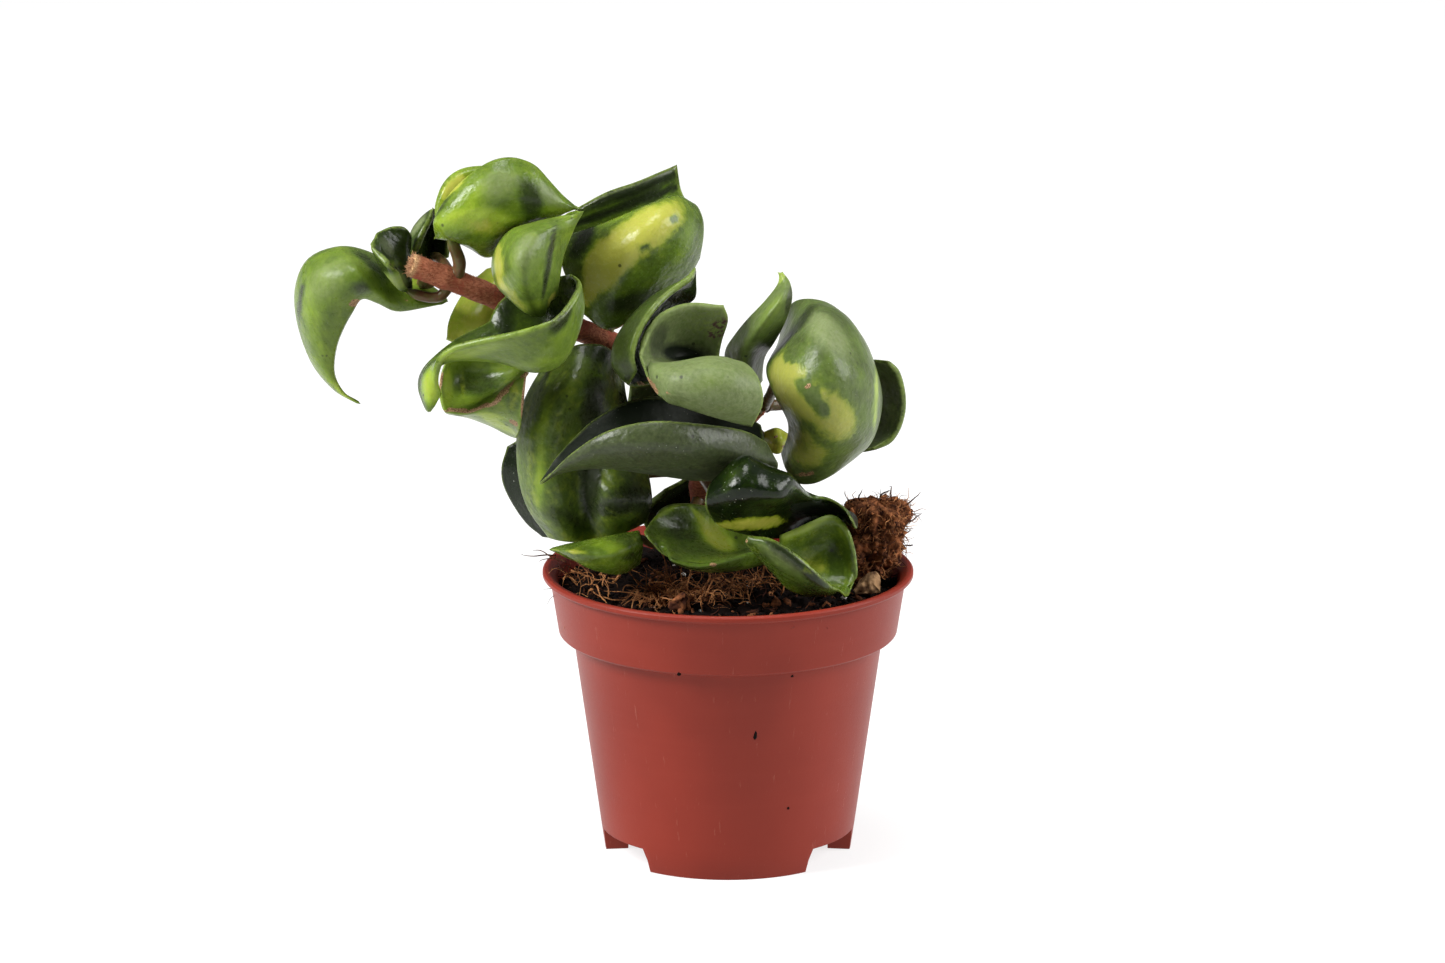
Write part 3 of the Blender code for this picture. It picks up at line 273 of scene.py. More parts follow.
LEAVES["leaf_left_wave"] = dict(
    petiole=((566, 330, 10), (560, 350, 18)), joins=(0.8, 0.5), root=(430, 412, 27), tip=(573, 274, 20),
    along=17, base=(0.56, 0.3, 0.18), face=(0.28, 0.05, 0.05),
    rails=(
        ((424, 392, 23), (426, 375, 21), (442, 357, 19), (464, 338, 17),
         (491, 323, 15), (502, 300, 13), (534, 287, 11), (563, 276, 14)),
        ((432, 394, 28), (433, 377, 28), (445, 364, 26), (470, 361, 25),
         (503, 364, 26), (535, 373, 26), (566, 359, 25), (584, 308, 22)),
        ((440, 393, 28), (440, 376, 31), (447, 356, 33), (470, 346, 35),
         (500, 339, 37), (536, 329, 38), (563, 316, 35), (582, 286, 26)),
    ),
    patches=(
        ("light", 470, 352, 80, 12, 14, 0.35), ("light", 430, 385, 56, 28, 80, 0.7),
        ("yellow", 430, 385, 50, 24, 80, 0.35), ("dark", 560, 312, 40, 20, 60, 0.9),
        ("dark", 505, 320, 20, 50, 0, 0.4), ("light", 530, 322, 26, 16, 0, 0.8),
        ("light", 540, 362, 60, 10, 10, 0.25), ("green", 500, 330, 60, 40, 0, 0.3),
    ),
)
LEAVES["leaf_scarred"] = dict(
    petiole=((552, 338, 2), (545, 355, 6)), joins=(0.85, 0.2), base=(0.62, 0.22, 0.28),
    face=(0.08, 0.0, 0.2),
    rails=(
        ((446, 357, 13), (463, 354, 10), (486, 355, 9), (508, 360, 10), (525, 366, 13)),
        ((440, 384, 15), (458, 384, 10), (484, 383, 9), (507, 381, 12), (528, 371, 17)),
        ((443, 410, 20), (463, 412, 20), (483, 405, 20), (500, 394, 21), (526, 374, 22)),
        ((446, 414, 16), (466, 417, 15), (488, 419, 16), (507, 416, 19), (521, 421, 22)),
        ((452, 415, 12), (470, 419, 11), (492, 428, 9), (508, 437, 9), (517, 440, 12)),
    ),
    patches=(
        ("scar", 455, 411, 36, 3, 0, 1.4), ("scar", 481, 406, 36, 4, 18, 1.6),
        ("scar", 506, 388, 40, 6, 52, 2.2), ("scar", 524, 374, 14, 7, 10, 2.0),
        ("scar", 523, 398, 50, 4, 84, 2.0), ("scar", 514, 423, 20, 4, -6, 1.8),
        ("dark", 512, 400, 34, 16, 80, 0.3), ("dark", 478, 384, 56, 26, 4, 0.45),
        ("light", 490, 416, 40, 8, -14, 0.4), ("scar", 438, 385, 34, 3, 80, 1.0),
        ("yellow", 514, 398, 30, 12, 80, 0.5), ("light", 498, 425, 50, 8, -28, 0.6),
        ("light", 448, 385, 12, 40, 0, 0.4), ("yellow", 462, 385, 6, 30, 0, 0.4),
    ),
)
LEAVES["leaf_pale_back"] = dict(
    petiole=((530, 304, -3),), joins=(0.5, 0.8), along=9, base=(1.0, 0.1, 0.7), face=(0.9, 0.1, 0.6),
    patches=(),
    rails=(
        ((491, 264, -6), (467, 285, -5), (448, 318, -2), (445, 345, 0)),
        ((515, 262, -2), (497, 290, 1), (485, 320, 4), (478, 348, 4)),
        ((540, 265, -8), (535, 295, -7), (528, 325, -5), (512, 350, -3)),
    ),
)
LEAVES["leaf_big_cap"] = dict(
    petiole=((600, 364, -3),), joins=(0.08, 0.6), along=14, base=(0.44, 0.24, 0.34), face=(0.2, 0.1, 0.1),
    rails=(
        ((545, 360, 1), (520, 405, 5), (514, 452, 7), (523, 503, 9), (553, 546, 8)),
        ((568, 346, 4), (554, 395, 14), (545, 452, 17), (552, 505, 18), (570, 544, 12)),
        ((592, 343, 4), (588, 390, 12), (580, 450, 10), (582, 500, 11), (594, 541, 10)),
        ((610, 347, 1), (610, 392, 5), (612, 450, 8), (616, 495, 18), (621, 537, 12)),
        ((624, 356, -5), (628, 398, -5), (645, 450, -1), (655, 498, 8), (647, 527, 8)),
    ),
    patches=(
        # A painted highlight down the left bulge at 545, 440, and painted shade in the valley beside it at
        # 592, 440.
        ("light", 545, 440, 170, 12, 85, 0.3), ("dark", 592, 440, 170, 26, 88, 0.6),
        ("yellow", 618, 508, 44, 28, 60, 0.22), ("dark", 642, 500, 30, 90, 80, 0.5),
        ("dark", 594, 480, 90, 14, 80, 0.4), ("dark", 600, 350, 60, 24, -10, 0.4),
        ("dark", 566, 520, 60, 20, -30, 0.2), ("dark", 612, 508, 40, 22, 0, 0.6),
        ("light", 597, 375, 22, 5, -25, 0.4), ("dark", 628, 400, 60, 30, 70, 0.7),
        ("yellow", 600, 540, 60, 14, 0, 0.25),
    ),
)
LEAVES["leaf_dark_crescent_left"] = dict(
    petiole=((665, 470, -8), (615, 474, -15)), joins=(0.5, 0.9), along=10, base=(-0.04, 0.02, 0.0),
    face=(0.0, 0.0, 0.0),
    rails=(
        ((509, 440, -5), (500, 467, -5), (504, 491, -5), (524, 523, -4), (548, 542, -1)),
        ((538, 434, -4), (532, 465, -2), (534, 495, -1), (545, 520, 0), (560, 537, 1)),
        ((575, 440, -14), (572, 470, -15), (572, 500, -14), (576, 525, -10), (580, 538, -6)),
    ),
    patches=(
        ("speck", 515, 480, 30, 14, 60, 0.8),
    ),
)
LEAVES["leaf_long_central"] = dict(
    petiole=((700, 468, 8), (702, 470, 16)), joins=(0.68, 0.38), root=(541, 485, 29), along=15,
    # The face, the inside of the fold, is painted below the darkest green: painted shade.
    base=(-0.04, 0.36, 0.04), face=(-0.4, 0.0, 0.0),
    rails=(
        ((565, 449, 23), (600, 417, 16), (650, 397, 12), (700, 409, 7), (742, 417, 4), (766, 428, 5)),
        ((562, 473, 28), (602, 468, 27), (650, 473, 24), (700, 480, 20), (745, 478, 15), (773, 474, 12)),
        ((563, 467, 33), (603, 450, 38), (651, 450, 40), (701, 455, 36), (747, 458, 27), (779, 464, 18)),
        ((565, 458, 33), (604, 431, 37), (652, 420, 38), (702, 423, 34), (747, 430, 25), (772, 445, 18)),
    ),
    patches=(
        ("light", 585, 464, 70, 12, 20, 0.3), ("dark", 690, 474, 130, 10, -2, 0.6),
        ("light", 762, 456, 40, 34, 0, 0.25), ("speck", 680, 446, 90, 24, 0, 0.6),
        ("light", 620, 436, 60, 16, 20, 0.15),
    ),
)
LEAVES["leaf_scroll_band"] = dict(
    petiole=((662, 372, -3),), joins=(0.88, 0.72), root=(694, 268, 7), along=13, base=(0.42, 0.36, 0.05),
    face=(0.04, 0.05, 0.0),
    rails=(
        ((688, 275, 10), (669, 290, 14), (651, 308, 19), (636, 334, 23), (631, 358, 25), (639, 376, 25)),
        ((684, 281, 6), (657, 293, 9), (635, 312, 12), (616, 338, 15), (612, 366, 17), (630, 387, 18)),
        ((694, 294, 1), (680, 303, -1), (668, 322, -2), (655, 345, -2.4), (658, 370, 1.5), (664, 386, 7)),
    ),
    patches=(
        ("scar", 642, 384, 14, 6, -20, 0.9), ("dark", 630, 380, 20, 10, 0, 0.5),
    ),
)
LEAVES["leaf_scroll_mouth"] = dict(
    petiole=((694, 392, -3),), joins=(0.55, 0.33), root=(639, 357, 24), along=13, across=9,
    base=(0.5, 0.85, 0.0), face=(0.44, 1.0, 0.0),
    rails=(
        ((643, 332, 20), (659, 311, 17), (690, 300, 12), (731, 305, 8)),
        ((645, 342, 17), (669, 330, 8), (697, 326, 5), (729, 325, 5)),
        ((648, 358, 15), (672, 360, 5), (698, 359, 3), (718, 358, 5)),
        ((647, 367, 22), (676, 371, 17), (706, 369, 17), (738, 368, 17)),
        ((648, 371, 28), (680, 368, 30), (712, 363, 31), (748, 367, 28)),
        ((651, 382, 31), (684, 383, 37), (720, 388, 38), (765, 394, 33)),
        ((655, 392, 29), (682, 403, 32), (716, 415, 32), (760, 428, 27)),
    ),
    patches=(
        # Painted light on the upper flap at 708, 320.
        ("light", 708, 320, 70, 44, 10, 0.5), ("bloom_and_highlight", 700, 322, 90, 50, 10, 0.3),
        ("purple", 718, 330, 30, 18, 55, 2.0), ("scar", 652, 386, 26, 8, -45, 1.6),
        # Painted shade in the hollow between the flaps at 678, 353 and 658, 340.
        ("dark", 678, 353, 66, 20, -6, 2.4), ("scar", 668, 394, 12, 6, -10, 0.6),
        ("dark", 658, 340, 36, 44, 0, 1.3), ("purple", 724, 352, 20, 4, 30, 0.6),
    ),
)
LEAVES["leaf_flame"] = dict(
    petiole=((748, 403, -3),), joins=(0.08, 0.5), tip=(780, 272, 3), along=10, base=(0.46, 0.62, 0.02),
    face=(0.2, 0.2, 0.0),
    rails=(
        ((729, 392, -5), (723, 354, -4), (742, 324, -1), (765, 299, 3), (777, 282, 3)),
        ((748, 394, 1), (746, 356, 5), (762, 325, 9), (780, 300, 9), (786, 283, 5)),
        ((764, 390, -9), (765, 360, -7), (781, 334, 1), (793, 303, 4), (791, 282, 3)),
    ),
    patches=(
        ("dark", 790, 300, 36, 8, 80, 0.8), ("light", 781, 276, 16, 8, 70, 0.9),
        ("dark", 758, 352, 40, 12, 60, 0.4), ("light", 770, 315, 50, 14, 60, 0.25),
    ),
)
LEAVES["leaf_right_dome"] = dict(
    petiole=((769, 401, -7),), joins=(0.5, 0.1), along=14, base=(0.4, 0.42, 0.18), face=(0.25, 0.1, 0.1),
    rails=(
        ((781, 322, -18), (777, 344, -12), (765, 369, 3), (772, 394, 8), (787, 427, 7), (777, 460, -1)),
        ((789, 304, -13), (790, 328, -3), (783, 357, 12), (796, 390, 20), (809, 430, 18), (789, 481, 3)),
        ((806, 298, -8), (818, 313, 7), (824, 343, 18), (838, 385, 22), (840, 432, 18), (814, 485, 5)),
        ((828, 302, -9), (845, 316, 1), (859, 345, 8), (872, 385, 12), (868, 432, 10), (836, 474, 3)),
        ((838, 311, -15), (858, 330, -8), (873, 357, -3), (883, 400, 0), (873, 441, 1), (850, 463, -4)),
    ),
    patches=(
        ("yellow", 787, 384, 90, 48, -62, 1.1), ("yellow", 833, 416, 90, 44, -48, 0.95),
        ("yellow", 806, 446, 60, 40, -50, 0.6), ("green", 811, 400, 56, 18, -50, 1.4),
        ("green", 788, 357, 28, 16, -35, 1.4), ("dark", 786, 340, 30, 12, 60, 0.3),
        # A painted highlight on the top of the dome at 822, 328.
        ("bloom_and_highlight", 822, 328, 80, 34, -50, 0.9), ("scar", 806, 386, 4, 4, 0, 1.0),
        ("light", 822, 328, 60, 26, -50, 0.15), ("scar", 805, 474, 30, 6, 10, 0.7),
        ("scar", 800, 462, 18, 4, 0, 0.5), ("yellow", 800, 462, 60, 30, 0, 0.3),
        # A painted highlight along the right edge.
        ("light", 876, 400, 90, 5, 88, 0.7),
    ),
)
LEAVES["leaf_dark_crescent_right"] = dict(
    petiole=((785, 404, -15), (820, 408, -21)), joins=(0.5, 0.93), along=10, base=(0.28, 0.3, 0.0),
    face=(0.2, 0.1, 0.0), patches=(),
    rails=(
        ((884, 359, -9), (898, 376, -11), (903, 408, -11), (893, 435, -11), (866, 451, -9)),
        ((866, 362, -14), (874, 385, -17), (876, 410, -17), (870, 435, -16), (856, 450, -13)),
        ((850, 368, -21), (846, 388, -26), (846, 410, -27), (844, 432, -24), (846, 446, -18)),
    ),
)
LEAVES["leaf_small_spotted"] = dict(
    petiole=((755, 430, -12),), joins=(0.5, 0.1), along=6, across=6, base=(0.85, 0.0, 0.9),
    face=(0.85, 0.0, 0.9),
    rails=(
        ((762, 430, -14), (761, 441, -14), (765, 452, -14)),
        ((777, 427, -12), (779, 441, -10), (777, 455, -12)),
        ((790, 432, -15), (793, 442, -15), (787, 452, -15)),
    ),
    patches=(
        ("scar", 775, 437, 6, 3, 20, 1.0), ("scar", 783, 446, 5, 3, -20, 1.0),
    ),
)
LEAVES["leaf_lower_right"] = dict(
    petiole=((712, 492, 8), (713, 493, 22)), joins=(0.07, 0.6), tip=(854, 528, 25), along=14,
    base=(0.03, 0.0, 0.0), face=(-0.1, 0.0, 0.0),
    rails=(
        ((720, 486, 27), (740, 478, 25), (768, 480, 22), (804, 490, 20), (838, 505, 21)),
        ((710, 482, 33), (741, 453, 34), (770, 464, 34), (803, 479, 32), (839, 496, 28)),
        ((704, 502, 38), (738, 491, 43), (772, 497, 41), (806, 496, 36), (845, 508, 30)),
        ((711, 521, 33), (742, 525, 33), (777, 516, 25), (809, 508, 16), (846, 513, 15)),
        ((722, 529, 28), (748, 536, 27), (781, 540, 18), (811, 528, 14), (846, 526, 13)),
    ),
    patches=(
        # A painted highlight along the top ridge at 800, 492.
        ("yellow", 760, 524, 116, 16, 3, 0.9), ("light", 800, 492, 70, 6, -18, 0.35),
        ("speck", 735, 490, 40, 60, 0, 1.0), ("light", 728, 482, 30, 12, 60, 0.25),
        # Painted shade in the hollow of the twisted end at 812, 508, and a painted highlight on its rim at
        # 815, 497.
        ("dark", 812, 508, 70, 14, -8, 1.0), ("light", 815, 497, 50, 3, -8, 0.5),
    ),
)
LEAVES["leaf_lower_loop"] = dict(
    petiole=((736, 531, -5), (767, 541, 3)), joins=(0.1, 0.3), tip=(845, 597, 26), base=(0.42, 0.16, 0.22),
    face=(0.52, 0.12, 0.3),
    rails=(
        ((772, 538, 25), (800, 524, 22), (832, 513, 20), (852, 533, 20), (856, 575, 20)),
        ((776, 560, 24), (802, 563, 19), (825, 558, 18), (841, 570, 19), (850, 587, 22)),
        ((774, 573, 27), (789, 590, 27), (807, 597, 27), (826, 596, 27), (838, 595, 27)),
        ((747, 548, 32), (770, 556, 36), (792, 568, 37), (812, 584, 36), (833, 593, 32)),
        ((739, 537, 33), (770, 538, 36), (796, 553, 37), (818, 572, 36), (835, 588, 31)),
    ),
    patches=(
        ("scar", 736, 537, 8, 5, 0, 1.2), ("dark", 800, 566, 90, 12, -38, 0.6),
        ("light", 790, 588, 40, 16, -30, 0.3), ("light", 800, 528, 70, 14, 25, 0.55),
        ("bloom_and_highlight", 800, 520, 80, 12, 20, 0.5), ("bloom_and_highlight", 780, 560, 60, 14, -38, 0.4),
        ("yellow", 815, 560, 40, 24, -40, 0.3), ("light", 770, 538, 50, 4, -10, 0.4),
        ("dark", 836, 560, 20, 50, 0, 0.2),
    ),
)
LEAVES["leaf_lower_cup"] = dict(
    petiole=((690, 513, 0),), joins=(0.4, 0.1), base=(0.46, 0.2, 0.2), face=(0.1, 0.05, 0.0),
    rails=(
        ((651, 519, 15), (668, 506, 12), (695, 503, 8), (724, 511, 6), (752, 530, 6)),
        ((645, 531, 20), (674, 533, 14), (705, 537, 12), (729, 546, 12), (758, 549, 12)),
        ((648, 544, 26), (667, 557, 29), (695, 565, 30), (722, 561, 29), (757, 550, 25)),
        ((656, 548, 22), (680, 566, 22), (708, 573, 23), (742, 571, 23), (778, 562, 20)),
    ),
    patches=(
        ("light", 718, 538, 60, 28, -52, 0.7), ("yellow", 716, 536, 64, 22, -52, 0.6),
        ("light", 703, 520, 44, 6, -50, 0.7), ("light", 665, 512, 40, 6, 30, 0.5),
        ("scar", 714, 564, 9, 5, 0, 1.0), ("speck", 655, 540, 24, 24, 0, 1.0),
        ("dark", 685, 535, 40, 40, 0, 0.25),
    ),
)
LEAVES["leaf_pointed_light"] = dict(
    petiole=((685, 549, 4), (665, 552, 4)), joins=(0.94, 0.3), root=(550, 548, 21), base=(0.54, 0.16, 0.26),
    face=(0.45, 0.1, 0.3),
    rails=(
        ((572, 556, 15), (597, 558, 12), (620, 556, 11), (640, 551, 9)),
        ((566, 544, 20), (590, 539, 20), (617, 534, 19), (639, 530, 15)),
        ((566, 550, 26), (591, 554, 28), (620, 552, 28), (644, 542, 20)),
        ((567, 557, 24), (592, 571, 24), (622, 576, 22), (646, 561, 15)),
    ),
    patches=(
        ("yellow", 576, 552, 30, 5, -4, 0.45), ("dark", 630, 556, 30, 10, 0, 0.4),
        ("light", 610, 545, 50, 14, -20, 0.3),
    ),
)
LEAVES["leaf_back_upper"] = dict(
    petiole=((640, 330, -13),), joins=(0.08, 0.5), along=10, base=(0.45, 0.45, 0.15), face=(0.3, 0.1, 0.2),
    patches=(),
    rails=(
        ((600, 300, -15), (592, 268, -16), (598, 236, -16), (625, 214, -17)),
        ((636, 308, -18), (640, 275, -27), (645, 242, -27), (655, 216, -20)),
        ((668, 286, -14), (686, 260, -16), (692, 234, -16), (684, 214, -17)),
    ),
)
LEAVES["leaf_back_middle"] = dict(
    petiole=((700, 450, -11),), joins=(0.8, 0.5), along=9, base=(0.5, 0.35, 0.25), face=(0.05, 0.1, 0.0),
    rails=(
        ((630, 380, -17), (626, 412, -19), (640, 446, -17)),
        ((700, 376, -21), (700, 415, -29), (702, 458, -22)),
        ((744, 384, -16), (752, 415, -19), (745, 445, -16)),
    ),
    patches=(
        ("yellow", 700, 415, 40, 14, 90, 0.7),
    ),
)
LEAVES["leaf_back_lower"] = dict(
    petiole=((704, 494, -15),), joins=(0.12, 0.5), along=9, base=(0.38, 0.4, 0.1), face=(0.03, 0.1, 0.0),
    patches=(),
    rails=(
        ((668, 485, -12), (640, 510, -16), (648, 538, -18)),
        ((703, 472, -17), (701, 508, -28), (704, 545, -30)),
        ((752, 490, -13), (768, 518, -18), (756, 540, -20)),
    ),
)

PAINT_LAYERS = ("lightness", "bloom_and_highlight", "yellow", "scar", "speck", "purple", "margin")
PETIOLE_PAINT = {"lightness": 0.45, "bloom_and_highlight": 0.3}
# The pale margin is full up to the first distance from a leaf's rim and gone at the second
MARGIN = (0.25 * MM, 1.0 * MM)

# Coir plug and bark chips, placed from the pot's axis
PLUG_RADIUS = 9.2 * MM
PLUG_BOTTOM = np.array((32, 4, 64.6)) * MM
PLUG_TOP = np.array((36.6, 4, 85.6)) * MM
PLUG_FOOT_SHARE = 0.74
CHIPS = {
    "bark_chip_right": {"x": 33.6 * MM, "y": -9.5 * MM, "reach": 4.8 * MM, "seed": 4, "tone": 0.55},
    "bark_chip_front": {"x": -11.8 * MM, "y": -25.5 * MM, "reach": 4.5 * MM, "seed": 9, "tone": 0.25},
}


# Places and curves
def sight_point(x, y, front):
    """The point seen at picture coordinates (x, y) that stands front millimetres before the pot's axis."""
    aim = Vector((VIEW_SHIFT, 0, VIEW_AIM_HEIGHT))
    eye = aim + VIEW_BACK * VIEW_DISTANCE
    across = (x - PICTURE_CENTRE[0]) * PIXEL
    rise = (PICTURE_CENTRE[1] - y) * PIXEL
    ray = aim + Vector((across, 0, 0)) + VIEW_UP * rise - eye
    reach = (-front * MM - eye.y) / ray.y
    return eye + ray * reach + Vector(AXIS)


def sight_points(places):
    return np.array([sight_point(*place) for place in places])


def sight_line(x, y, end=-SIGHT_START):
    """Where the sight line at (x, y) starts before the pot's axis, and its way from there to end."""
    near, far = sight_points(((x, y, SIGHT_START), (x, y, end)))
    return near, far - near


def unit(vectors):
    return vectors / (np.linalg.norm(vectors, axis=-1, keepdims=True) + 1e-15)


def smooth_step(low, high, value):
    share = np.clip((value - low) / (high - low), 0, 1)
    return share * share * (3 - 2 * share)


def curve_at(points, places):
    """The Catmull-Rom curve through the points, at fractional indices."""
    points = np.asarray(points, float)
    ends = np.concatenate([[2 * points[0] - points[1]], points, [2 * points[-1] - points[-2]]])
    k = np.minimum(places.astype(int), len(points) - 2)
    t = (places - k).reshape((-1,) + (1,) * (points.ndim - 1))
    a, b, c, d = (ends[k + step] for step in range(4))
    return 0.5 * (2 * b + (c - a) * t + (2 * a - 5 * b + 4 * c - d) * t**2 + (3 * b - a - 3 * c + d) * t**3)


def spline(points, count):
    """count points evenly along the curve."""
    return curve_at(points, np.linspace(0, len(points) - 1, count))


def bend(points, count):
    """count points along the Bezier curve that has the given points as its controls."""
    found = []
    for share in np.linspace(0, 1, count):
        level = points
        while len(level) > 1:
            level = level[:-1] * (1 - share) + level[1:] * share
        found.append(level[0])
    return np.array(found)


# The CAD's own leaf shapes
def blunt_end(tip, neighbours):
    """A station at the leaf's tip: its points stand side by side over TIP_WIDTH."""
    across = unit(neighbours[-1] - neighbours[0])
    places = np.linspace(-0.5, 0.5, len(neighbours)) * TIP_WIDTH
    return np.array(sight_point(*tip)) + places[:, None] * across


def leaf_grid(sketch):
    """Points [station, place across] of the leaf's back, lofted through its rails."""
    stations = list(np.array([sight_points(rail) for rail in sketch["rails"]]).transpose(1, 0, 2))
    if "root" in sketch:
        stations.insert(0, blunt_end(sketch["root"], stations[0]))
    if "tip" in sketch:
        stations.append(blunt_end(sketch["tip"], stations[-1]))
    widened = np.array([spline(station, sketch.get("across", LEAF_ACROSS)) for station in stations])
    grid = spline(widened, sketch.get("along", LEAF_ALONG))
    open_ends = [ends for key, ends in (("root", (0, 1)), ("tip", (-1, -2))) if key not in sketch]
    for last, before in open_ends:
        for place, pull in enumerate(CORNER_PULL):
            for column in (place, -1 - place):
                grid[last, column] += (grid[before, column] - grid[last, column]) * pull
    return grid


def grid_normals(grid):
    return unit(np.cross(np.gradient(grid, axis=1), np.gradient(grid, axis=0)))


def outward_normals(grid):
    """Unit normals of the grid towards its bulging side, and whether the grid's own point there."""
    normals = grid_normals(grid)
    chord = (grid[:, :1] + grid[:, -1:]) / 2
    bulging = float(((grid - chord) * normals).sum()) > 0
    return (normals if bulging else -normals), bulging


def nearest_on_stems(point):
    """The nearest centre point of a stem, and that stem's radius."""
    found = []
    for path, radius in ((STEM_PATH, STEM_RADIUS), (SIDE_STEM_PATH, SIDE_STEM_RADIUS)):
        centres = spline(sight_points(path), STEM_SEARCH_POINTS)
        distances = np.linalg.norm(centres - point, axis=1) - radius
        nearest = np.argmin(distances)
        found.append((distances[nearest], centres[nearest], radius))
    return min(found, key=lambda item: item[0])[1:]


def side_stem_points():
    """The side stem starts just clear of the main stem."""
    points = sight_points(SIDE_STEM_PATH)
    centres = spline(sight_points(STEM_PATH), STEM_SEARCH_POINTS)
    nearest = centres[np.argmin(np.linalg.norm(centres - points[0], axis=1))]
    start = nearest + unit(points[0] - nearest) * (STEM_RADIUS + PETIOLE_CLEARANCE)
    return spline([start, *points], SIDE_STEM_POINTS)


def petiole_points(sketch, grid, thickness):
    """From just clear of the stem, through the sketched points, into the middle of the blade."""
    middle = sight_points(sketch["petiole"])
    centre, radius = nearest_on_stems(middle[0])
    start = centre + unit(middle[0] - centre) * (radius + PETIOLE_CLEARANCE)
    along, across = sketch["joins"]
    row = round(along * (len(grid) - 1))
    column = round(across * (len(grid[0]) - 1))
    normals, _ = outward_normals(grid)
    end = grid[row, column] - normals[row, column] * thickness[row * len(grid[0]) + column] / 2
    points = np.array([start, *middle, end])
    length = np.linalg.norm(np.diff(points, axis=0), axis=1).sum()
    return bend(points, max(3, round(length / PETIOLE_STEP) + 1))


def blade_sheet(grid):
    """The leaf's back as triangles, facing its bulging side."""
    along, across = grid.shape[:2]
    bm = bmesh.new()
    bmesh.ops.create_grid(bm, x_segments=across - 1, y_segments=along - 1, size=1)
    for vert, place in zip(bm.verts, grid.reshape(-1, 3)):
        vert.co = place
    if not outward_normals(grid)[1]:
        bmesh.ops.reverse_faces(bm, faces=bm.faces)
    bmesh.ops.triangulate(bm, faces=bm.faces, quad_method="FIXED")
    bm.normal_update()
    bm.verts.index_update()
    return bm


def crossing_points(backs, fronts, faces, edges):
    """Indices of the grid points where the blade's two faces and its edge would run through each other."""
    count = len(backs)
    tris = [tuple(face) for face in faces]
    tris += [tuple(index + count for index in reversed(face)) for face in faces]
    for first, second in edges:
        tris += [(second, first, first + count), (second, first + count, second + count)]
    points = np.vstack([backs, fronts])
    tree = BVHTree.FromPolygons([tuple(point) for point in points], tris)
    found = set()
    for one, other in tree.overlap(tree):
        if one < other and not set(tris[one]) & set(tris[other]):
            found |= {index % count for index in tris[one] + tris[other]}
    for face in faces:
        corners = backs[face], fronts[face]
        back, front = (np.cross(corner[1] - corner[0], corner[2] - corner[0]) for corner in corners)
        if back @ front <= LEAST_AGREEMENT * np.linalg.norm(back) * np.linalg.norm(front):
            found |= set(face)
    return sorted(found)


def evened(grid, places):
    """The grid with the given points drawn a little towards the points beside them in the same row."""
    across = grid.shape[1]
    result = grid.copy()
    for place in places:
        row, column = divmod(place, across)
        if 0 < column < across - 1:
            beside = (grid[row, column - 1] + grid[row, column + 1]) / 2
            result[row, column] += EVENING * (beside - grid[row, column])
    return result


def relaxed_blade(grid):
    """The leaf's grid without crossings, and its thickness at each point.

    The blade is thinner at the leaf's ends. Where it curls too tightly for two full faces it is thinned, and
    where the least thickness still isn't enough, its curl is evened out.
    """
    along, across = grid.shape[:2]
    rows = np.arange(along * across) // across
    from_end = np.minimum(rows, along - 1 - rows) / 2
    thickness = LEAF_THICKNESS * np.minimum(1, TIP_THINNING + (1 - TIP_THINNING) * from_end)
    for _ in range(RELAXING_ROUNDS):
        bm = blade_sheet(grid)
        backs = np.array([vert.co for vert in bm.verts])
        inwards = -np.array([vert.normal for vert in bm.verts])
        faces = [[vert.index for vert in face.verts] for face in bm.faces]
        edges = [[vert.index for vert in edge.verts] for edge in bm.edges if edge.is_boundary]
        bm.free()
        crossing = crossing_points(backs, backs + inwards * thickness[:, None], faces, edges)
        if not crossing:
            break
        thinnest = [place for place in crossing if thickness[place] <= LEAF_LEAST * 1.001]
        grid = evened(grid, thinnest)
        thickness[crossing] = np.maximum(LEAF_LEAST, thickness[crossing] * THINNING)
    return grid, thickness


# The CAD's own pot and soil shapes
def outer_radius(height):
    """The pot's outer radius at a height: its tapered body, and above the step its band."""
    if height <= STEP_HEIGHT:
        share = (height - FOOT_HEIGHT) / (STEP_HEIGHT - FOOT_HEIGHT)
        return BODY_BOTTOM_RADIUS + (BODY_TOP_RADIUS - BODY_BOTTOM_RADIUS) * share
    share = (height - STEP_HEIGHT) / BAND_HEIGHT
    return BAND_BOTTOM_RADIUS + (BAND_TOP_RADIUS - BAND_BOTTOM_RADIUS) * share


def inner_radius(height):
    return outer_radius(height) - WALL


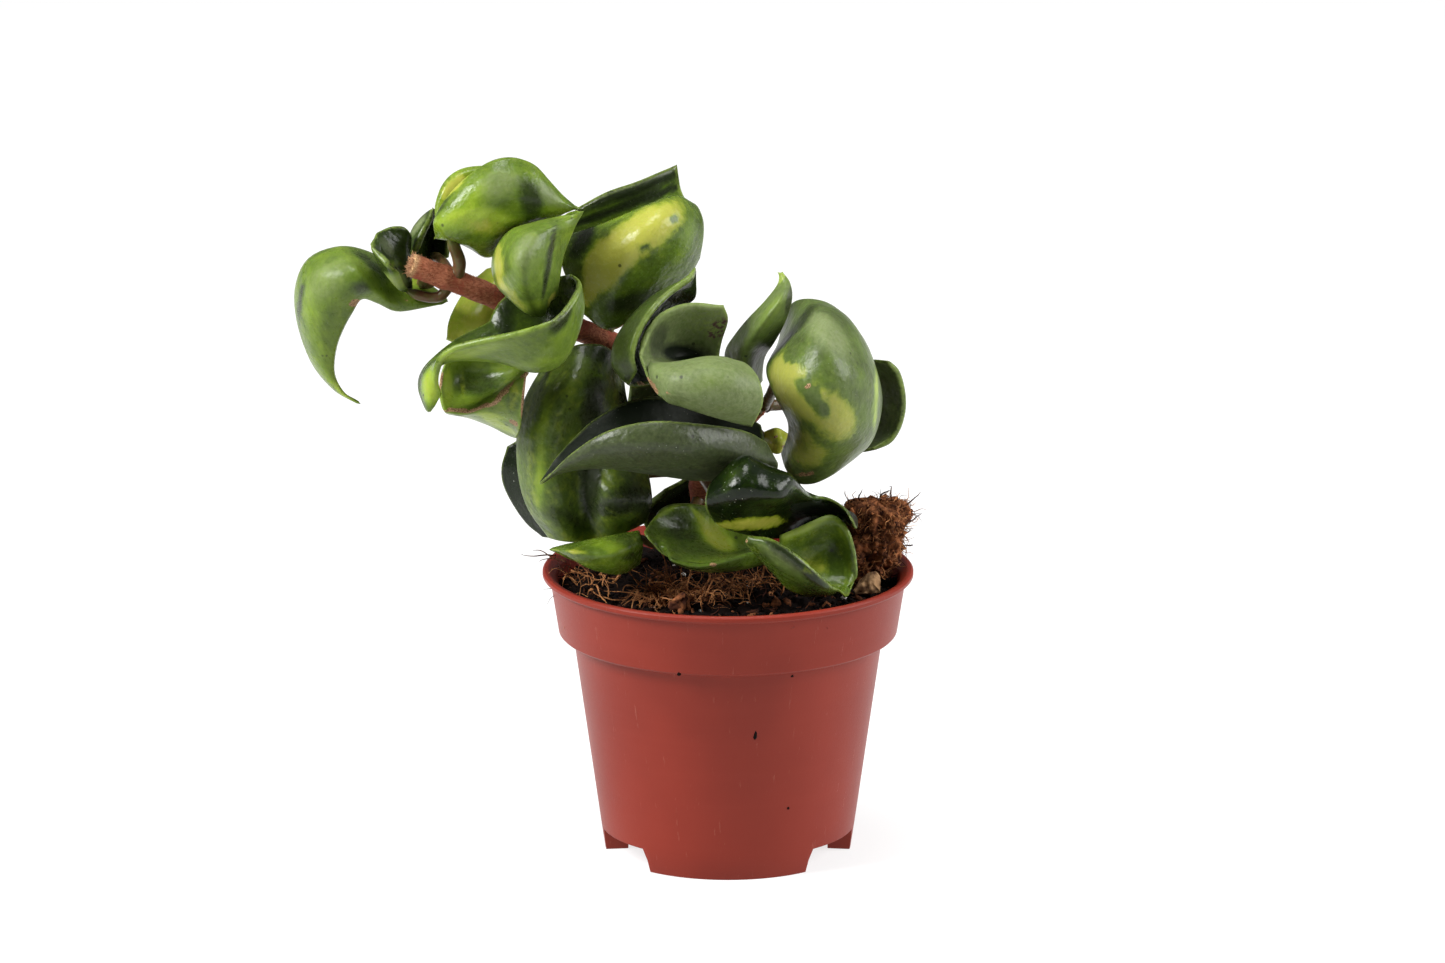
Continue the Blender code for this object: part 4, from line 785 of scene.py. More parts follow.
def pot_profile():
    """From the axis over the floor, up the inside, over the lip, down the outside and in under the floor."""
    floor = FOOT_HEIGHT + WALL
    lip_bottom = POT_HEIGHT - LIP_HEIGHT
    return (
        (0, floor),
        (inner_radius(floor) - MM, floor),
        (inner_radius(floor + MM), floor + MM),
        (inner_radius(STEP_HEIGHT), STEP_HEIGHT + WALL - TOUCH),
        (BAND_BOTTOM_RADIUS - WALL, STEP_HEIGHT + WALL + TOUCH),
        (inner_radius(lip_bottom), lip_bottom),
        (RIM_RADIUS - WALL - LIP_ROUND, POT_HEIGHT - TOUCH),
        (RIM_RADIUS - WALL, POT_HEIGHT),
        (RIM_RADIUS - LIP_ROUND, POT_HEIGHT),
        (RIM_RADIUS, POT_HEIGHT - LIP_ROUND),
        (RIM_RADIUS, lip_bottom + LIP_ROUND),
        (RIM_RADIUS - LIP_ROUND, lip_bottom),
        (BAND_TOP_RADIUS, lip_bottom - TOUCH),
        (BAND_BOTTOM_RADIUS, STEP_HEIGHT + LIP_ROUND),
        (BAND_BOTTOM_RADIUS - LIP_ROUND, STEP_HEIGHT),
        (BODY_TOP_RADIUS, STEP_HEIGHT),
        (outer_radius(FOOT_HEIGHT), FOOT_HEIGHT),
        (FOOT_RADIUS, 0),
        (FOOT_INNER_RADIUS, 0),
        (FOOT_INNER_RADIUS, FOOT_HEIGHT),
        (0, FOOT_HEIGHT),
    )


def mesh_from_bmesh(name, bm):
    mesh = bpy.data.meshes.new(name)
    bm.to_mesh(mesh)
    bm.free()
    return mesh


def turned_pot(collection):
    """The pot's profile turned round its axis."""
    bm = bmesh.new()
    verts = [bm.verts.new((radius, 0, height)) for radius, height in pot_profile()]
    for first, second in zip(verts, verts[1:]):
        bm.edges.new((first, second))
    pot = bpy.data.objects.new("pot", mesh_from_bmesh("pot", bm))
    collection.objects.link(pot)
    pot.location = AXIS
    screw = pot.modifiers.new("Turned", "SCREW")
    screw.steps = POT_STEPS
    screw.render_steps = POT_STEPS
    screw.use_merge_vertices = True
    screw.merge_threshold = MERGE_DISTANCE
    screw.use_smooth_shade = True
    return pot


def notch_mesh(name, middle):
    """A wedge from the axis outwards that cuts one notch between two feet, wider at its bottom."""
    bm = bmesh.new()
    corners = []
    bottom, top = -2 * MM, FOOT_HEIGHT - 0.3 * MM
    for height, half in ((bottom, NOTCH_ANGLE / 2 + NOTCH_SLANT), (top, NOTCH_ANGLE / 2)):
        for angle in (middle - half, middle + half):
            for radius in (FOOT_INNER_RADIUS - 2 * MM, RIM_RADIUS):
                corners.append(bm.verts.new((radius * math.cos(angle), radius * math.sin(angle), height)))
    bmesh.ops.convex_hull(bm, input=corners)
    bmesh.ops.recalc_face_normals(bm, faces=bm.faces)
    return mesh_from_bmesh(name, bm)


def drain_mesh(name):
    """A post through the pot's floor that cuts one drainage hole."""
    bm = bmesh.new()
    low, high = FOOT_HEIGHT - MM, FOOT_HEIGHT + WALL + MM
    place = Matrix.Translation((0, 0, (low + high) / 2))
    bmesh.ops.create_cone(
        bm, cap_ends=True, segments=DRAIN_SIDES, radius1=DRAIN_RADIUS, radius2=DRAIN_RADIUS,
        depth=high - low, matrix=place,
    )
    bmesh.ops.recalc_face_normals(bm, faces=bm.faces)
    return mesh_from_bmesh(name, bm)


def cut(item, mesh, place, collection):
    cutter = bpy.data.objects.new(mesh.name, mesh)
    collection.objects.link(cutter)
    cutter.location = place
    modifier = item.modifiers.new(mesh.name, "BOOLEAN")
    modifier.operation = "DIFFERENCE"
    modifier.object = cutter


def cut_pot(collection):
    """The turned pot with its notches, its drainage holes and softened edges."""
    pot = turned_pot(collection)
    for index in range(FOOT_COUNT):
        middle = math.radians(-90 + 360 / FOOT_COUNT * (index + 0.5))
        cut(pot, notch_mesh(f"notch_{index + 1}", middle), AXIS, collection)
    for index in range(DRAIN_COUNT):
        angle = 2 * math.pi * (index + DRAIN_TURN) / DRAIN_COUNT
        place = (POT_X + DRAIN_RING * math.cos(angle), DRAIN_RING * math.sin(angle), 0)
        cut(pot, drain_mesh(f"drain_{index + 1}"), place, collection)
    bevel = pot.modifiers.new("Soft edges", "BEVEL")
    bevel.width = POT_BEVEL
    bevel.segments = 2
    bevel.limit_method = "ANGLE"
    bevel.angle_limit = POT_BEVEL_ANGLE
    bevel.harden_normals = False
    return pot


def flat_share(x, y):
    """1 where a chip rests, so that the soil is flat there, falling to 0 around it."""
    distances = [math.hypot(x - chip["x"], y - chip["y"]) / chip["reach"] for chip in CHIPS.values()]
    return min(1.0, max(0.0, 2 - min(distances)))


def soil_height(x, y):
    """The uneven top of the CAD's soil at a place measured from the pot's axis."""
    dish = SOIL_DISH * (math.hypot(x, y) / RIM_RADIUS) ** 2
    bump = SOIL_BUMP * noise.noise(Vector((x, y, 0)) / (7 * MM))
    bump += 0.45 * SOIL_BUMP * noise.noise(Vector((x, y, 5)) / (3 * MM))
    return SOIL_LEVEL - dish + bump * (1 - flat_share(x, y))


# Meshes
def add_to_scene(name, data):
    item = bpy.data.objects.new(name, data)
    bpy.context.scene.collection.objects.link(item)
    return item


def link(name, mesh, material, slot, *nodes):
    """A new piece of the object, which rides on the one body and stands for the given CAD nodes."""
    piece = add_to_scene(name, mesh)
    mesh.materials.append(material)
    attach(piece, "root")
    if nodes:
        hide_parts(*nodes)
    return piece


def mesh_of(name, points, faces, layers):
    """A smooth mesh with the given layers, one value or one vector for each point."""
    mesh = bpy.data.meshes.new(name)
    mesh.from_pydata([tuple(point) for point in points], [], faces)
    mesh.validate()
    for key, values in layers.items():
        add_layer(mesh, key, np.asarray(values, float))
    mesh.shade_smooth()
    return mesh


def add_layer(mesh, key, values):
    kind, field = ("FLOAT_VECTOR", "vector") if values.ndim == 2 else ("FLOAT", "value")
    mesh.attributes.new(key, kind, "POINT").data.foreach_set(field, values.reshape(-1))


def ring_faces(rings, steps, first=0):
    """Quads between rings of points, which start at the given index."""
    faces = []
    for ring in range(rings - 1):
        low = first + ring * steps
        for k in range(steps):
            after = (k + 1) % steps
            faces.append((low + k, low + after, low + steps + after, low + steps + k))
    return faces


def barrel_faces(rings, steps):
    """Quads between rings of points, closed by a face at both ends."""
    last = (rings - 1) * steps
    return [*ring_faces(rings, steps), tuple(range(steps))[::-1], tuple(range(last, last + steps))]


def tube(points, radii, sides):
    """Points and faces of a round tube whose radius may change."""
    tangents = unit(np.gradient(points, axis=0))
    side = unit(np.cross(tangents[0], (0.3, 0.9, 0.2)))
    angles = np.linspace(0, 2 * np.pi, sides, endpoint=False)
    rings = []
    for point, tangent, radius in zip(points, tangents, radii):
        side = unit(side - tangent * (side @ tangent))
        other = np.cross(tangent, side)
        rings.append(point + radius * (np.cos(angles)[:, None] * side + np.sin(angles)[:, None] * other))
    return np.vstack(rings), barrel_faces(len(points), sides)


class Heap:
    """Many small shapes gathered into one mesh."""

    def __init__(self):
        self.points = []
        self.faces = []
        self.tones = []
        self.count = 0

    def add(self, vertices, faces, tone):
        self.points.append(vertices)
        self.faces += [tuple(k + self.count for k in face) for face in faces]
        self.tones.append(np.full(len(vertices), tone))
        self.count += len(vertices)

    def link(self, name, material, slot):
        layers = {"tone": np.concatenate(self.tones)}
        link(name, mesh_of(name, np.vstack(self.points), self.faces, layers), material, slot)


def ico_sphere():
    bm = bmesh.new()
    bmesh.ops.create_icosphere(bm, subdivisions=1, radius=0.5)
    points = np.array([vert.co for vert in bm.verts])
    faces = [tuple(vert.index for vert in face.verts) for face in bm.faces]
    bm.free()
    return points, faces


ICO_POINTS, ICO_FACES = ico_sphere()


def lumpy_sphere(random, roughness, most):
    return ICO_POINTS * (1 + roughness * random.standard_normal((len(ICO_POINTS), 1)).clip(-most, most))


def crumb(heap, random, place, size, flat, tone):
    """A small rough lump."""
    sphere = lumpy_sphere(random, 0.28, 1.2)
    turn = np.array(Matrix.Rotation(random.uniform(0, 6.3), 3, Vector(random.standard_normal(3))))
    sphere = (sphere * (1, random.uniform(0.6, 1), flat)) @ turn.T * size
    heap.add(sphere + place, ICO_FACES, tone)


def fibre(heap, random, start, way, length, thickness, curl, tone, droop=0.0, sides=5, steps=14):
    """One thin curly strand that ends in a point."""
    points = [np.array(start, float)]
    way = unit(np.array(way, float))
    turn = random.standard_normal(3) * curl
    for _ in range(steps):
        turn = turn * 0.8 + random.standard_normal(3) * curl * 0.5
        way = unit(way + turn / steps * 4 + np.array((0, 0, -droop)) / steps)
        points.append(points[-1] + way * length / steps)
    share = np.linspace(0, 1, len(points))
    heap.add(*tube(np.array(points), thickness / 2 * (1 - 0.75 * share**2), sides), tone)


# Painting of the leaves
def patch_weight(points, x, y, length, width, turn):
    """1 at the blade's front-most place seen at (x, y), falling to 0 over the patch's length and width."""
    near, ray = sight_line(x, y)
    ray = unit(ray)
    away = points - near
    depth = away @ ray
    aside = np.linalg.norm(away - depth[..., None] * ray, axis=-1)
    middle = points.reshape(-1, 3)[np.argmin(aside * 4 + depth * 0.25)]
    angle = math.radians(turn)
    up = np.array(VIEW_UP)
    right = np.array((1.0, 0, 0))
    off = points - middle
    along = off @ (right * math.cos(angle) + up * math.sin(angle)) / length
    across = off @ (up * math.cos(angle) - right * math.sin(angle)) / width
    deep = off @ ray / max(length, width)
    reach = np.sqrt(along**2 + across**2 + deep**2) / (PIXEL / 2)
    return 1 - smooth_step(0.45, 1.25, reach)


def paint_of(sketch, points, values, rim):
    """The painting layers of a leaf's back or face, from its base values and its patches."""
    layer = {key: np.zeros(points.shape[:2]) for key in PAINT_LAYERS}
    for key, value in zip(PAINT_LAYERS, values):
        layer[key] += value
    for kind, x, y, length, width, turn, strength in sketch["patches"]:
        weight = patch_weight(points, x, y, length, width, turn) * strength
        if kind == "light":
            # Light patches: the leaf's paler tones, and painted highlights.
            layer["lightness"] += 0.8 * weight
        elif kind == "dark":
            # Dark patches: the leaf's darker tones, and painted shade in hollows, folds and valleys.
            layer["lightness"] -= 0.7 * weight
            layer["yellow"] -= 0.5 * weight
            layer["bloom_and_highlight"] *= 1 - 0.5 * weight
        elif kind == "green":
            layer["yellow"] -= 1.2 * weight
        else:
            # Yellow, scar, speck and purple patches, and bloom patches, which paint the waxy bloom and also
            # painted highlights.
            layer[kind] = np.maximum(layer[kind], 0) + weight
    layer["margin"] = 1 - smooth_step(*MARGIN, rim)
    return layer


# Leaves and stems
def spread(count, most, crowding=0.45):
    """Places from 0 to most, closer together near both ends."""
    share = np.linspace(0, 1, count)
    return most * ((1 - crowding) * share + crowding * (0.5 - 0.5 * np.cos(np.pi * share)))


def lengths_along(points):
    """How far each point of a grid is along its column, and how far from the nearer end."""
    step = np.linalg.norm(np.diff(points, axis=0), axis=2)
    length = np.concatenate([np.zeros_like(points[:1, :, 0]), np.cumsum(step, axis=0)])
    return length, np.minimum(length, length[-1:] - length)


def rounded_sheet(middle, normals, half):
    """Points and faces of a closed blade: its back, and its face behind, which share a rounded rim."""
    rows, columns = middle.shape[:2]
    offset = normals * half[..., None]
    index = np.arange(rows * columns).reshape(rows, columns)
    below = index.copy()
    below[1:-1, 1:-1] = rows * columns + np.arange((rows - 2) * (columns - 2)).reshape(rows - 2, columns - 2)
    faces = []
    for i in range(rows - 1):
        for j in range(columns - 1):
            faces.append((index[i, j], index[i, j + 1], index[i + 1, j + 1], index[i + 1, j]))
            faces.append((below[i, j], below[i + 1, j], below[i + 1, j + 1], below[i, j + 1]))
    return back_and_face(middle + offset, middle - offset), [tuple(int(k) for k in face) for face in faces]


def back_and_face(back, face):
    """Values for the points of a rounded sheet: all of its back, and its face without the shared rim."""
    inner = face[1:-1, 1:-1]
    return np.concatenate([back.reshape(-1, *back.shape[2:]), inner.reshape(-1, *inner.shape[2:])])


def build_blade(name, sketch, grid, thickness):
    """Points, faces and painting layers of a leaf's smooth blade."""
    along, across = grid.shape[:2]
    rows, columns = spread(BLADE_ROWS, along - 1), spread(BLADE_COLUMNS, across - 1)
    bulging = outward_normals(grid)[1]
    backs = surface_at(grid, rows, columns)
    normals = grid_normals(backs) if bulging else -grid_normals(backs)
    full = surface_at(thickness.reshape(along, across, 1), rows, columns)[..., 0]
    full = np.clip(full, LEAF_LEAST, LEAF_THICKNESS)
    down, from_ends = lengths_along(backs)
    over, from_sides = (part.T for part in lengths_along(backs.swapaxes(0, 1)))
    rim = np.minimum(from_ends, from_sides)
    reach = np.clip(rim / EDGE_ROUND, 0, 1)
    half = full / 2 * np.sqrt(np.clip(1 - (1 - reach) ** 2, 0, 1))
    under = backs - normals * full[..., None]
    back = paint_of(sketch, backs, sketch["base"], rim)
    face = paint_of(sketch, under, sketch["face"], rim)
    layers = {key: back_and_face(back[key], face[key]) for key in PAINT_LAYERS}
    seed = (sum(ord(letter) for letter in name) % 37) * MM * 10
    flow = np.stack([down, over, np.full_like(down, seed)], axis=2)
    layers["flow"] = back_and_face(flow, flow + np.array((0, 0, 3 * MM)))
    vertices, faces = rounded_sheet(backs - normals * full[..., None] / 2, normals, half)
    if not bulging:
        faces = [face[::-1] for face in faces]
    return vertices, faces, layers


def surface_at(grid, rows, columns):
    """The grid's smooth surface at fractional rows and columns."""
    return curve_at(curve_at(grid, rows).swapaxes(0, 1), columns).swapaxes(0, 1)


def build_petiole(sketch, grid, thickness):
    """Points and faces of a petiole that starts inside its stem, and each point's share along it."""
    path = petiole_points(sketch, grid, thickness)
    centre, radius = nearest_on_stems(path[0])
    path = spline(np.vstack([centre + unit(path[0] - centre) * radius * 0.75, path]), PETIOLE_RINGS)
    share = np.linspace(0, 1, PETIOLE_RINGS)
    flared = 0.95 + 0.35 * np.exp(-share * 9) - 0.5 * smooth_step(0.8, 1.0, share)
    radii = sketch.get("stalk", PETIOLE_RADIUS) * flared
    bumps = np.array([noise.noise(Vector(point) / PETIOLE_BUMP_SIZE) for point in path])
    points, faces = tube(path, radii * (1 + 0.06 * bumps), PETIOLE_SIDES)
    return points, faces, np.repeat(share, PETIOLE_SIDES)


def build_leaf_piece(name, sketch, material):
    """A leaf's blade and petiole in one mesh, with the layers that its material paints by."""
    grid, thickness = relaxed_blade(leaf_grid(sketch))
    vertices, faces, layers = build_blade(name, sketch, grid, thickness)
    points, more_faces, share = build_petiole(sketch, grid, thickness)
    count = len(vertices)
    faces += [tuple(k + count for k in face) for face in more_faces]
    for key in PAINT_LAYERS:
        layers[key] = np.concatenate([layers[key], np.full(len(points), PETIOLE_PAINT.get(key, 0.0))])
    layers["flow"] = np.vstack([layers["flow"], points])
    layers["petiole"] = np.concatenate([np.zeros(count), 1 - smooth_step(0.75, 1.0, share) * 0.6])
    mesh = mesh_of(name, np.vstack([vertices, points]), faces, layers)
    return link("fine_" + name, mesh, material, "leaf", name)


# Shares of the stem's length where a node thickens it, and how long a node is
STEM_NODES = (0.30, 0.46, 0.62, 0.78, 0.93)
NODE_LENGTH = 0.012
STEM_RIDGE_SIZE = 1.1 * MM
STEM_LUMP_SIZE = 5 * MM


def build_stem_piece(name, points, radius, material, cut_end):
    """A stem with ridges along it, lumps and nodes, and where it is cut, a layer that marks the cut end."""
    path = spline(points, STEM_RINGS)
    share = np.repeat(np.linspace(0, 1, STEM_RINGS), STEM_SIDES)
    vertices, faces = tube(path, np.full(STEM_RINGS, radius), STEM_SIDES)
    centres = np.repeat(path, STEM_SIDES, axis=0)
    rough = []
    for x, y, z in vertices:
        ridges = noise.noise(Vector((x * 0.35, y, z)) / STEM_RIDGE_SIZE)
        lumps = noise.noise(Vector((x, y, z)) / STEM_LUMP_SIZE)
        rough.append(1 + 0.035 * ridges + 0.07 * lumps)
    nodes = sum(np.exp(-(((share - spot) / NODE_LENGTH) ** 2)) for spot in STEM_NODES)
    vertices = centres + (vertices - centres) * (np.array(rough) + 0.09 * nodes)[:, None]
    cut_share = smooth_step(0.985, 1.0, share) if cut_end else np.zeros_like(share)
    return link("fine_" + name, mesh_of(name, vertices, faces, {"cut": cut_share}), material, "stem", name)


HAIR_COUNT = 2600
HAIR_THICKNESS = 0.07 * MM
TORN_COUNT = 320
TORN_THICKNESS = 0.2 * MM
FUZZ_POINTS = 400
# Hairs grow from the first of these points of the stem up to the second
FUZZ_RANGE = (30, 396)


def build_stem_fuzz(points, radius, material):
    """Short reddish hairs on the stem, and torn strands on its cut end."""
    random = np.random.default_rng(11)
    path = spline(points, FUZZ_POINTS)
    ways = unit(np.gradient(path, axis=0))
    hairs = Heap()
    for _ in range(HAIR_COUNT):
        k = random.integers(*FUZZ_RANGE)
        side = unit(np.cross(ways[k], random.standard_normal(3)))
        way = side * 0.7 + ways[k] * random.uniform(0, 1.2)
        fibre(hairs, random, path[k] + side * radius * 0.96, way, random.uniform(0.3, 1.1) * MM,
              HAIR_THICKNESS, 0.4, random.uniform(0.1, 0.9), sides=3, steps=4)
    for _ in range(TORN_COUNT):
        side = unit(np.cross(ways[-1], random.standard_normal(3)))
        place = path[-1] + side * radius * random.uniform(0.1, 0.95) - ways[-1] * 0.4 * MM
        way = ways[-1] + 0.4 * random.standard_normal(3)
        fibre(hairs, random, place, way, random.uniform(0.6, 1.9) * MM,
              TORN_THICKNESS, 0.4, random.uniform(0.5, 1.2), steps=4)
    hairs.link("stem_fuzz", material, "stem")


# Materials
def set_stops(ramp, stops):
    while len(ramp.elements) < len(stops):
        ramp.elements.new(0.5)
    for element, (place, colour) in zip(ramp.elements, stops):
        element.position = place
        element.color = (*colour, 1.0)


class Tree:
    """A material's node tree, with short calls for the nodes that are used here."""

    def __init__(self, name, roughness, **settings):
        self.material = bpy.data.materials.new(name)
        self.material.use_nodes = True
        self.nodes = self.material.node_tree.nodes
        self.links = self.material.node_tree.links
        self.shader = self.nodes["Principled BSDF"]
        self.shader.inputs["Roughness"].default_value = roughness
        for key, value in settings.items():
            self.shader.inputs[key.replace("_", " ")].default_value = value
        self.coords = self.scaled(self.add("ShaderNodeTexCoord").outputs["Object"], (1000, 1000, 1000))

    def add(self, kind, **settings):
        node = self.nodes.new(kind)
        for key, value in settings.items():
            setattr(node, key, value)
        return node

    def feed(self, socket, value):
        if isinstance(value, (int, float, tuple)):
            socket.default_value = value
        else:
            self.links.new(value, socket)

    def scaled(self, vector, scale):
        node = self.add("ShaderNodeVectorMath", operation="MULTIPLY")
        self.feed(node.inputs[0], vector)
        node.inputs[1].default_value = scale
        return node.outputs[0]

    def layer(self, name, vector=False):
        node = self.add("ShaderNodeAttribute", attribute_name=name)
        return node.outputs["Vector" if vector else "Fac"]

    def math(self, operation, first, second=0.0, third=0.0):
        node = self.add("ShaderNodeMath", operation=operation)
        for socket, value in zip(node.inputs, (first, second, third)):
            self.feed(socket, value)
        return node.outputs[0]

    def times(self, first, second):
        return self.math("MULTIPLY", first, second)

    def plus(self, base, value, amount):
        """base with amount times the value added."""
        return self.math("MULTIPLY_ADD", value, amount, base)

    def varied(self, base, *patterns):
        """base moved up and down by patterns around 0.5, each by its own amount."""
        for pattern, amount in patterns:
            base = self.plus(base, self.math("SUBTRACT", pattern, 0.5), amount)
        return base

    def noise(self, vector, scale, detail=3.0, roughness=0.55, distortion=0.0):
        """Noise of about one lump each 1 / scale of the vector's unit, from about 0.2 to 0.8."""
        node = self.add("ShaderNodeTexNoise")
        self.feed(node.inputs["Vector"], vector)
        node.inputs["Scale"].default_value = scale
        node.inputs["Detail"].default_value = detail
        node.inputs["Roughness"].default_value = roughness
        node.inputs["Distortion"].default_value = distortion
        return node.outputs["Fac"]

    def dots(self, vector, scale, size):
        """1 in small round dots, of which about one in three cells has one."""
        node = self.add("ShaderNodeTexVoronoi")
        self.feed(node.inputs["Vector"], vector)
        node.inputs["Scale"].default_value = scale
        chosen = self.step(node.outputs["Color"], 0.62, 0.66)
        return self.times(self.step(node.outputs["Distance"], size, size * 0.5), chosen)

    def step(self, value, low, high):
        """A smooth step from 0 at low to 1 at high."""
        node = self.add("ShaderNodeMapRange", interpolation_type="SMOOTHSTEP")
        self.feed(node.inputs["Value"], value)
        node.inputs["From Min"].default_value = low
        node.inputs["From Max"].default_value = high
        return node.outputs[0]

    def mix(self, share, first, second):
        node = self.add("ShaderNodeMix", data_type="RGBA")
        self.feed(node.inputs["Factor"], share)
        for socket, value in ((node.inputs[6], first), (node.inputs[7], second)):
            self.feed(socket, (*value, 1.0) if isinstance(value, tuple) else value)
        return node.outputs[2]

    def ramp(self, value, stops):
        node = self.add("ShaderNodeValToRGB")
        set_stops(node.color_ramp, stops)
        self.feed(node.inputs["Fac"], value)
        return node.outputs["Color"]

    def bump(self, height, distance, before=None):
        node = self.add("ShaderNodeBump")
        node.inputs["Strength"].default_value = 1.0
        node.inputs["Distance"].default_value = distance
        self.feed(node.inputs["Height"], height)
        if before is not None:
            self.feed(node.inputs["Normal"], before)
        return node.outputs["Normal"]

    def finish(self, colour, roughness=None, normal=None):
        self.feed(self.shader.inputs["Base Color"], colour)
        if roughness is not None:
            self.feed(self.shader.inputs["Roughness"], roughness)
        if normal is not None:
            self.feed(self.shader.inputs["Normal"], normal)
        return self.material


LEAF_GREENS = (
    (0.0, (0.003, 0.007, 0.001)),
    (0.25, (0.014, 0.027, 0.002)),
    (0.5, (0.058, 0.104, 0.003)),
    (0.75, (0.145, 0.225, 0.008)),
    (1.0, (0.29, 0.39, 0.03)),
)
YELLOW_DEEP = (0.19, 0.25, 0.008)
YELLOW_PALE = (0.38, 0.375, 0.055)
# The grey-green of the waxy bloom, also the colour of painted highlights.
BLOOM_AND_HIGHLIGHT_GREEN = (0.155, 0.190, 0.080)
MARGIN_GREEN = (0.20, 0.27, 0.05)
SCAR_DARK = (0.10, 0.045, 0.02)
SCAR_PALE = (0.42, 0.27, 0.14)
PURPLE_BROWN = (0.075, 0.035, 0.035)
SPOT_DARK = (0.012, 0.014, 0.006)
DUST = (0.42, 0.46, 0.36)
PETIOLE_OLIVE = (0.085, 0.070, 0.022)


def leaf_ground(tree, streaks, fine):
    """Greens by the painted lightness and streaks along the leaf, with yellow where it is painted."""
    broad = tree.noise(tree.coords, 0.13, 2.0)
    blots = tree.noise(tree.coords, 0.32, 3.0, 0.6, 0.6)
    # The lightness holds painted highlights and painted shade besides the leaf's own tones.
    light = tree.varied(tree.layer("lightness"), (broad, 0.55), (streaks, 0.24), (fine, 0.16))
    yellow = tree.varied(tree.layer("yellow"), (streaks, 0.3), (blots, 1.0), (fine, 0.22))
    yellow_colour = tree.mix(tree.step(yellow, 0.35, 1.15), YELLOW_DEEP, YELLOW_PALE)
    share = tree.times(tree.step(yellow, 0.22, 0.78), 0.86)
    return tree.mix(share, tree.ramp(light, LEAF_GREENS), yellow_colour)


def leaf_marks(tree, colour, fine, grain, scar):
    """The colour with bloom and highlights painted as bloom, pale margins, purple, scars, spots and dust, and
    the petiole's olive.
    """
    # The bloom layer also carries painted highlights, which turn the colour whitish grey-green.
    bloom_and_highlight = tree.layer("bloom_and_highlight")
    mottled_bloom_and_highlight = tree.times(tree.times(bloom_and_highlight, tree.step(fine, 0.25, 0.75)), 0.45)
    colour = tree.mix(tree.plus(mottled_bloom_and_highlight, bloom_and_highlight, 0.45), colour, BLOOM_AND_HIGHLIGHT_GREEN)
    edge = tree.times(tree.layer("margin"), tree.step(fine, 0.25, 0.6))
    colour = tree.mix(tree.times(edge, 0.5), colour, MARGIN_GREEN)
    purple = tree.times(tree.layer("purple"), tree.step(fine, 0.42, 0.60))
    colour = tree.mix(tree.times(purple, 0.85), colour, PURPLE_BROWN)
    colour = tree.mix(scar, colour, tree.mix(tree.step(grain, 0.4, 0.6), SCAR_DARK, SCAR_PALE))
    spots = tree.dots(tree.coords, 0.22, 0.13)
    colour = tree.mix(tree.times(spots, 0.75), colour, SPOT_DARK)
    dust = tree.dots(tree.coords, 1.15, 0.16)
    dust = tree.times(dust, tree.plus(0.20, tree.layer("speck"), 0.8))
    colour = tree.mix(dust, colour, DUST)
    petiole = tree.mix(tree.step(fine, 0.35, 0.65), PETIOLE_OLIVE, SCAR_DARK)
    return tree.mix(tree.layer("petiole"), colour, petiole)


def leaf_material():
    """A waxy skin that the painted layers colour, duller where it has bloom, highlights painted as bloom or
    scars, and where deep shade is painted.
    """
    tree = Tree(
        "leaf_skin", 0.34, IOR=1.5, Specular_IOR_Level=0.22,
        Subsurface_Weight=0.08, Subsurface_Scale=0.0012, Subsurface_Radius=(0.5, 1.0, 0.2),
    )
    streaks = tree.noise(tree.scaled(tree.layer("flow", vector=True), (260, 900, 900)), 0.55, 4.0, 0.6, 0.4)
    fine = tree.noise(tree.coords, 0.9, 4.0, 0.65)
    grain = tree.noise(tree.coords, 4.0, 2.0)
    scar = tree.step(tree.varied(tree.layer("scar"), (fine, 1.2)), 0.35, 0.6)
    colour = leaf_marks(tree, leaf_ground(tree, streaks, fine), fine, grain, scar)
    shaded = tree.math("SUBTRACT", 1.0, tree.step(tree.layer("lightness"), -0.3, 0.0))
    roughness = 0.17
    for pattern, amount in ((tree.layer("bloom_and_highlight"), 0.26), (fine, 0.12), (scar, 0.3), (shaded, 0.35)):
        roughness = tree.plus(roughness, pattern, amount)
    normal = tree.bump(tree.noise(tree.coords, 0.35, 2.0), 0.0003)
    normal = tree.bump(fine, 0.00005, before=normal)
    normal = tree.bump(grain, 0.000015, before=normal)
    return tree.finish(colour, roughness, normal)


def stem_material():
    """Furrowed reddish bark, and pale pith on the cut end."""
    tree = Tree("stem_bark", 0.7, IOR=1.4, Specular_IOR_Level=0.25)
    lengthwise = tree.noise(tree.scaled(tree.coords, (0.4, 1.0, 0.9)), 2.3, 5.0, 0.6)
    broad = tree.noise(tree.coords, 0.22, 3.0)
    fibres = tree.noise(tree.coords, 3.2, 3.0)
    colour = tree.mix(tree.step(lengthwise, 0.35, 0.65), (0.19, 0.052, 0.024), (0.37, 0.130, 0.066))
    colour = tree.mix(tree.step(broad, 0.48, 0.68), colour, (0.28, 0.065, 0.034))
    pith = tree.mix(tree.step(fibres, 0.35, 0.65), (0.30, 0.15, 0.06), (0.68, 0.46, 0.24))
    colour = tree.mix(tree.layer("cut"), colour, pith)
    normal = tree.bump(lengthwise, 0.00035)
    normal = tree.bump(fibres, 0.0001, before=normal)
    return tree.finish(colour, None, normal)


def toned_material(name, roughness, low, high, scale):
    """A rough material whose colour runs from low to high by each shape's own tone and fine noise."""
    tree = Tree(name, roughness, IOR=1.35, Specular_IOR_Level=0.2)
    fine = tree.noise(tree.coords, scale, 4.0, 0.65)
    tone = tree.varied(tree.layer("tone"), (fine, 0.9))
    colour = tree.mix(tree.step(tone, 0.0, 1.0), low, high)
    return tree.finish(colour, None, tree.bump(fine, 0.0002))


